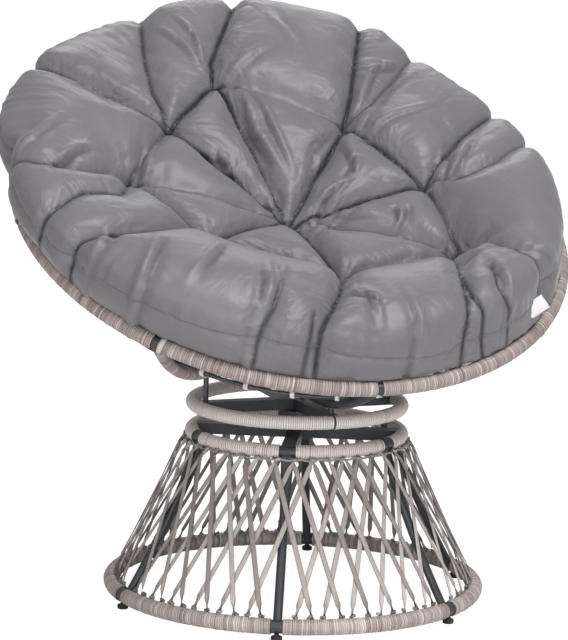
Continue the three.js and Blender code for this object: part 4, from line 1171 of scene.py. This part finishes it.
# The fabric is a little larger than its form, filled, and held where it is sewn and where it lies in the bowl
def inflate(cushion):
    look = cushionLook
    start = meshValues(cushion.data)
    local = toRimFrame(start)
    radius = np.hypot(local[:, 0], local[:, 1])
    limits = look["held"]
    under = (local[:, 2] < limits["under"]) & ((radius > limits["outside"]) | (local[:, 2] < limits["below"]))
    held = under | (creaseDepth(local)[1] & (local[:, 2] > limits["foldsAbove"]))
    group = cushion.vertex_groups.new(name="held")
    group.add([int(i) for i in np.nonzero(held)[0]], 1.0, "REPLACE")
    cloth = cushion.modifiers.new("cloth", "CLOTH")
    for key, value in look["cloth"].items():
        setattr(cloth.settings, key, value)
    cloth.settings.vertex_group_mass = "held"
    cloth.settings.effector_weights.gravity = 0
    cloth.collision_settings.use_collision = False
    cloth.collision_settings.use_self_collision = False
    scene = bpy.context.scene
    cloth.point_cache.frame_start = 1
    cloth.point_cache.frame_end = look["frames"]
    for number in range(1, look["frames"] + 1):
        scene.frame_set(number)
    applyModifiers(cushion)
    scene.frame_set(1)
    move = evenOut(cushion.data, meshValues(cushion.data) - start, look["moveEvenings"])
    length = np.linalg.norm(move, axis=1)
    share = np.where(length > look["cap"], look["cap"] / np.maximum(length, 1e-9), 1)
    setValues(cushion.data.vertices, "co", start + move * share[:, None])
    cushion.data.update()
    cushion.vertex_groups.clear()
    print("cushion filled, moved", round(float(length.max()) * 1000, 1), "mm at most")


def finishCushion(cushion):
    look = cushionLook["shade"]
    mesh = cushion.data
    local = toRimFrame(meshValues(mesh))
    xy = acrossAndFront(local)
    depth = creaseDepth(local)[0] * (local[:, 2] > -70)
    onTop = np.clip(local[:, 2] / 25 + 1.6, 0, 1)
    # painted shade: darkest where the creases run deepest, along the closed folds and on the closed side of
    # each tuck
    dark = np.clip((depth - look["depth"]) / look["over"], 0, 1) * look["deep"]
    dark = dark + onTop * np.maximum(foldCloseness(xy, look["lineWidth"], False), tuckShade(xy))
    addPointValues(mesh, "paintedShade", evenOut(mesh, np.clip(dark * look["strength"], 0, 1), 1)[:, 0])
    drawn = foldCloseness(xy, look["drawnWidth"], True) * look["drawnStrength"]
    addPointValues(mesh, "drawn", np.clip(drawn, 0, 1))
    mesh.materials.clear()
    mesh.materials.append(satinPolyester)
    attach(cushion, "cushion")
    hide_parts("cushion")


cushionPad = buildCushion()
print("cushion made")


def surfaceTree(piece):
    mesh = piece.data
    return BVHTree.FromPolygons([v.co for v in mesh.vertices], [tuple(p.vertices) for p in mesh.polygons])


def toMetres(points):
    return np.asarray(points, float) / 1000


# Thread tacks at the tufts and the stitched seam along the cushion's side, laid on its surface
stitchLook = {"tackReach": 0.0065, "tackWidth": 1.5, "tackLeans": (0.6, -0.9), "overSeam": 2.5,
              "stitches": 620, "stitchWidth": 0.9, "longestStitch": 0.012}
wellOutside = 620  # a distance from the middle beyond the cushion's side, in mm


def buildStitching(cushion):
    look = stitchLook
    tree = surfaceTree(cushion)
    pile = newPile()
    for x, f, h in cushionLook["tufts"] + [cushionLook["middle"]]:
        hit = tree.ray_cast(Vector(inRim(np.array([x, -f, 200.0]))), -rimUp)[0]
        if hit is None:
            continue
        for lean in look["tackLeans"]:
            side = Vector((math.cos(lean), math.sin(lean) * math.cos(tilt), math.sin(lean) * math.sin(tilt)))
            line = np.array([hit + side * (look["tackReach"] * v) + rimUp * (0.0012 * (1 - v * v) + 0.0004)
                             for v in np.linspace(-1, 1, 7)]) * 1000
            layStrip(pile, line, np.array([rimUp] * 7), look["tackWidth"], 1.0, toMetres, -0.4)
    count = look["stitches"]
    places = []
    for k in range(count):
        a = 2 * math.pi * k / count
        seamHeight = float(seamLine(math.atan2(math.sin(a), math.cos(a)))) + look["overSeam"]
        start = Vector(inRim(wellOutside * radial(a) + np.array([0, 0, seamHeight])))
        goal = Vector(inRim(np.array([-15.0, 20.0, seamHeight])))
        places.append(tree.ray_cast(start, (goal - start).normalized())[:2])
    for (p, n), (q, m) in zip(places, places[1:]):
        if p is None or q is None or (p - q).length > look["longestStitch"]:
            continue
        line = np.array([p.lerp(q, s) + n.lerp(m, s) * lift for s, lift in
                         ((0.08, 0.0), (0.3, 0.0005), (0.6, 0.0005), (0.82, 0.0))]) * 1000
        layStrip(pile, line, np.repeat(np.array(n)[None], 4, 0), look["stitchWidth"], 0.6, toMetres, -0.2)
    raisePile(pile, "cushionStitching", "cushion", threadPolyester)


buildStitching(cushionPad)


# The blank label: a short satin ribbon sewn in under the seam, standing off the side and facing the front
labelLook = {"turn": 43.5, "height": 46, "length": 33, "width": 24, "facing": -112, "lean": 36,
             "standOff": 17, "thickness": 0.5, "curl": 2.2, "droop": 1.6,
             "textureSize": (32, 46)}


def buildLabel(cushion):
    look = labelLook
    turn, facing, lean = [math.radians(v) for v in (look["turn"] - 90, look["facing"], look["lean"])]
    middle = np.array([0.0, 0.0, look["height"]])
    outside, inside = Vector(inRim(wellOutside * radial(turn) + middle)), Vector(inRim(middle))
    place = surfaceTree(cushion).ray_cast(outside, (inside - outside).normalized())[0]
    thin = Vector((math.cos(facing), math.sin(facing), 0.1)).normalized()
    level = Vector((0, 0, 1)).cross(thin).normalized()
    along = level * math.cos(lean) + thin.cross(level) * math.sin(lean)
    wide = thin.cross(along)
    centre = np.array(place + thin * look["standOff"] / 1000)
    along, wide, thin = [np.array(v)[None, None] for v in (along, wide, thin)]
    v = (np.linspace(0, 1, 9) - 0.5)[:, None, None]
    u = (np.linspace(0, 1, 11) - 0.5)[None, :, None]
    curl = look["curl"] * np.sin(3.2 * u + 0.6) * (0.5 - v) + look["droop"] * (0.5 - v) ** 2
    flat = centre + (along * u * look["length"] + wide * v * look["width"]) / 1000
    half = look["thickness"] / 2
    front, back = flat + thin * (curl + half) / 1000, flat + thin * (curl - half) / 1000
    shell = np.concatenate([front, back[::-1]], 0)
    closed = np.concatenate([shell, shell[:1]], 0).transpose(1, 0, 2)
    lids = [drawnIn(end, end.mean(1, keepdims=True)) for end in (closed[:1], closed[-1:])]
    points = np.concatenate([lids[0], closed, lids[1]])[:, :-1]
    along, around = look["textureSize"]
    uv = textureGrid(np.linspace(0, along, points.shape[0]), np.linspace(0, around, points.shape[1] + 1))
    pile = newPile()
    layGrid(pile, points, uv)
    raisePile(pile, "cushionLabel", "cushion", satinRibbon, ("cushion_label",))


buildLabel(cushionPad)
print("label and stitching made")

# The room: a pale floor, white all round, and four lamps given as place, goal, size in metres and watts
roomLook = {
    "floorSize": 40.0, "floorColour": "#ececec", "seenColour": "#8c8c8c", "floorGlow": 0.9,
    "worldStrength": 0.38,
    "lamps": {"keyLamp": ((0.5, -1.9, 3.9), (0, 0, 0.6), (2.2, 2.2), 128),
              "fillLamp": ((-3.0, -2.6, 1.9), (0, 0, 0.5), (2.4, 2.4), 32),
              "lowLamp": ((-0.5, -3.4, 0.45), (0, 0, 0.34), (1.6, 1.0), 40),
              "backLamp": ((1.2, 3.0, 2.8), (0, 0, 0.7), (2.0, 1.6), 26)},
}


def buildRoom():
    mesh = bpy.data.meshes.new("studioFloor")
    half = roomLook["floorSize"] / 2
    corners = [(half * x, half * y, 0) for x, y in ((-1, -1), (1, -1), (1, 1), (-1, 1))]
    mesh.from_pydata(corners, [], [(0, 1, 2, 3)])
    floor = addObject("studioFloor", mesh)
    material, shader = startMaterial("paleStudioFloor", roughness=0.9)
    rays = addNode(material, "ShaderNodeLightPath")
    # straight to the camera the floor glows a little, so that it stays white while the chair's shadow shows
    glow = addNode(material, "ShaderNodeMath", {"operation": "MULTIPLY"},
                   {0: rays.outputs["Is Camera Ray"], 1: roomLook["floorGlow"]})
    shade = mixColours(material, rays.outputs["Is Camera Ray"], linear(roomLook["floorColour"]),
                       linear(roomLook["seenColour"]))
    link(material, shade, shader, "Base Color")
    shader.inputs["Emission Color"].default_value = (1, 1, 1, 1)
    link(material, glow.outputs[0], shader, "Emission Strength")
    mesh.materials.append(material)
    world = bpy.data.worlds.new("studioWorld")
    bpy.context.scene.world = world
    world.use_nodes = True
    world.node_tree.nodes.clear()
    seen, lit = [addNode(world, "ShaderNodeBackground", inputs={"Color": (1, 1, 1, 1), "Strength": strength})
                 for strength in (1.0, roomLook["worldStrength"])]
    rays = addNode(world, "ShaderNodeLightPath").outputs
    direct = addNode(world, "ShaderNodeMath", {"operation": "MAXIMUM"},
                     {0: rays["Is Camera Ray"], 1: rays["Is Transmission Ray"]})
    mixer = addNode(world, "ShaderNodeMixShader",
                    inputs={0: direct.outputs[0], 1: lit.outputs[0], 2: seen.outputs[0]})
    addNode(world, "ShaderNodeOutputWorld", inputs={"Surface": mixer.outputs[0]})


def addLamp(name, place, goal, size, watts):
    data = bpy.data.lights.new(name, "AREA")
    data.shape = "RECTANGLE"
    data.size, data.size_y = size
    data.energy = watts
    lamp = addObject(name, data)
    lamp.location = place
    lamp.rotation_euler = (Vector(goal) - Vector(place)).to_track_quat("-Z", "Y").to_euler()


# The camera as it stood for the photo: place in mm about the swivel's axis, pitch and roll in radians
cameraLook = {"place": (-1747, -4612, 1266), "heading": (0.3495, 0.9369, 0), "pitch": 0.163, "roll": 0.024,
              "lens": 172.91}


def buildCamera():
    look = cameraLook
    heading = Vector(look["heading"]).normalized()
    forward = heading * math.cos(look["pitch"]) - Vector((0, 0, math.sin(look["pitch"])))
    right = Vector((heading.y, -heading.x, 0))
    up = right.cross(forward)
    turnedRight = right * math.cos(look["roll"]) + up * math.sin(look["roll"])
    turnedUp = -right * math.sin(look["roll"]) + up * math.cos(look["roll"])
    data = bpy.data.cameras.new("photoCamera")
    data.lens = look["lens"]
    data.sensor_width = 36
    data.clip_end = 50
    camera = addObject("photoCamera", data)
    basis = Matrix((turnedRight, turnedUp, -forward)).transposed().to_4x4()
    camera.matrix_world = Matrix.Translation(Vector(inChair(np.array(look["place"])))) @ basis
    bpy.context.scene.camera = camera


buildRoom()
for lampName, lampSettings in roomLook["lamps"].items():
    addLamp(lampName, *lampSettings)
buildCamera()
bpy.context.scene.view_settings.view_transform = "Standard"
print("room, lamps and camera made")
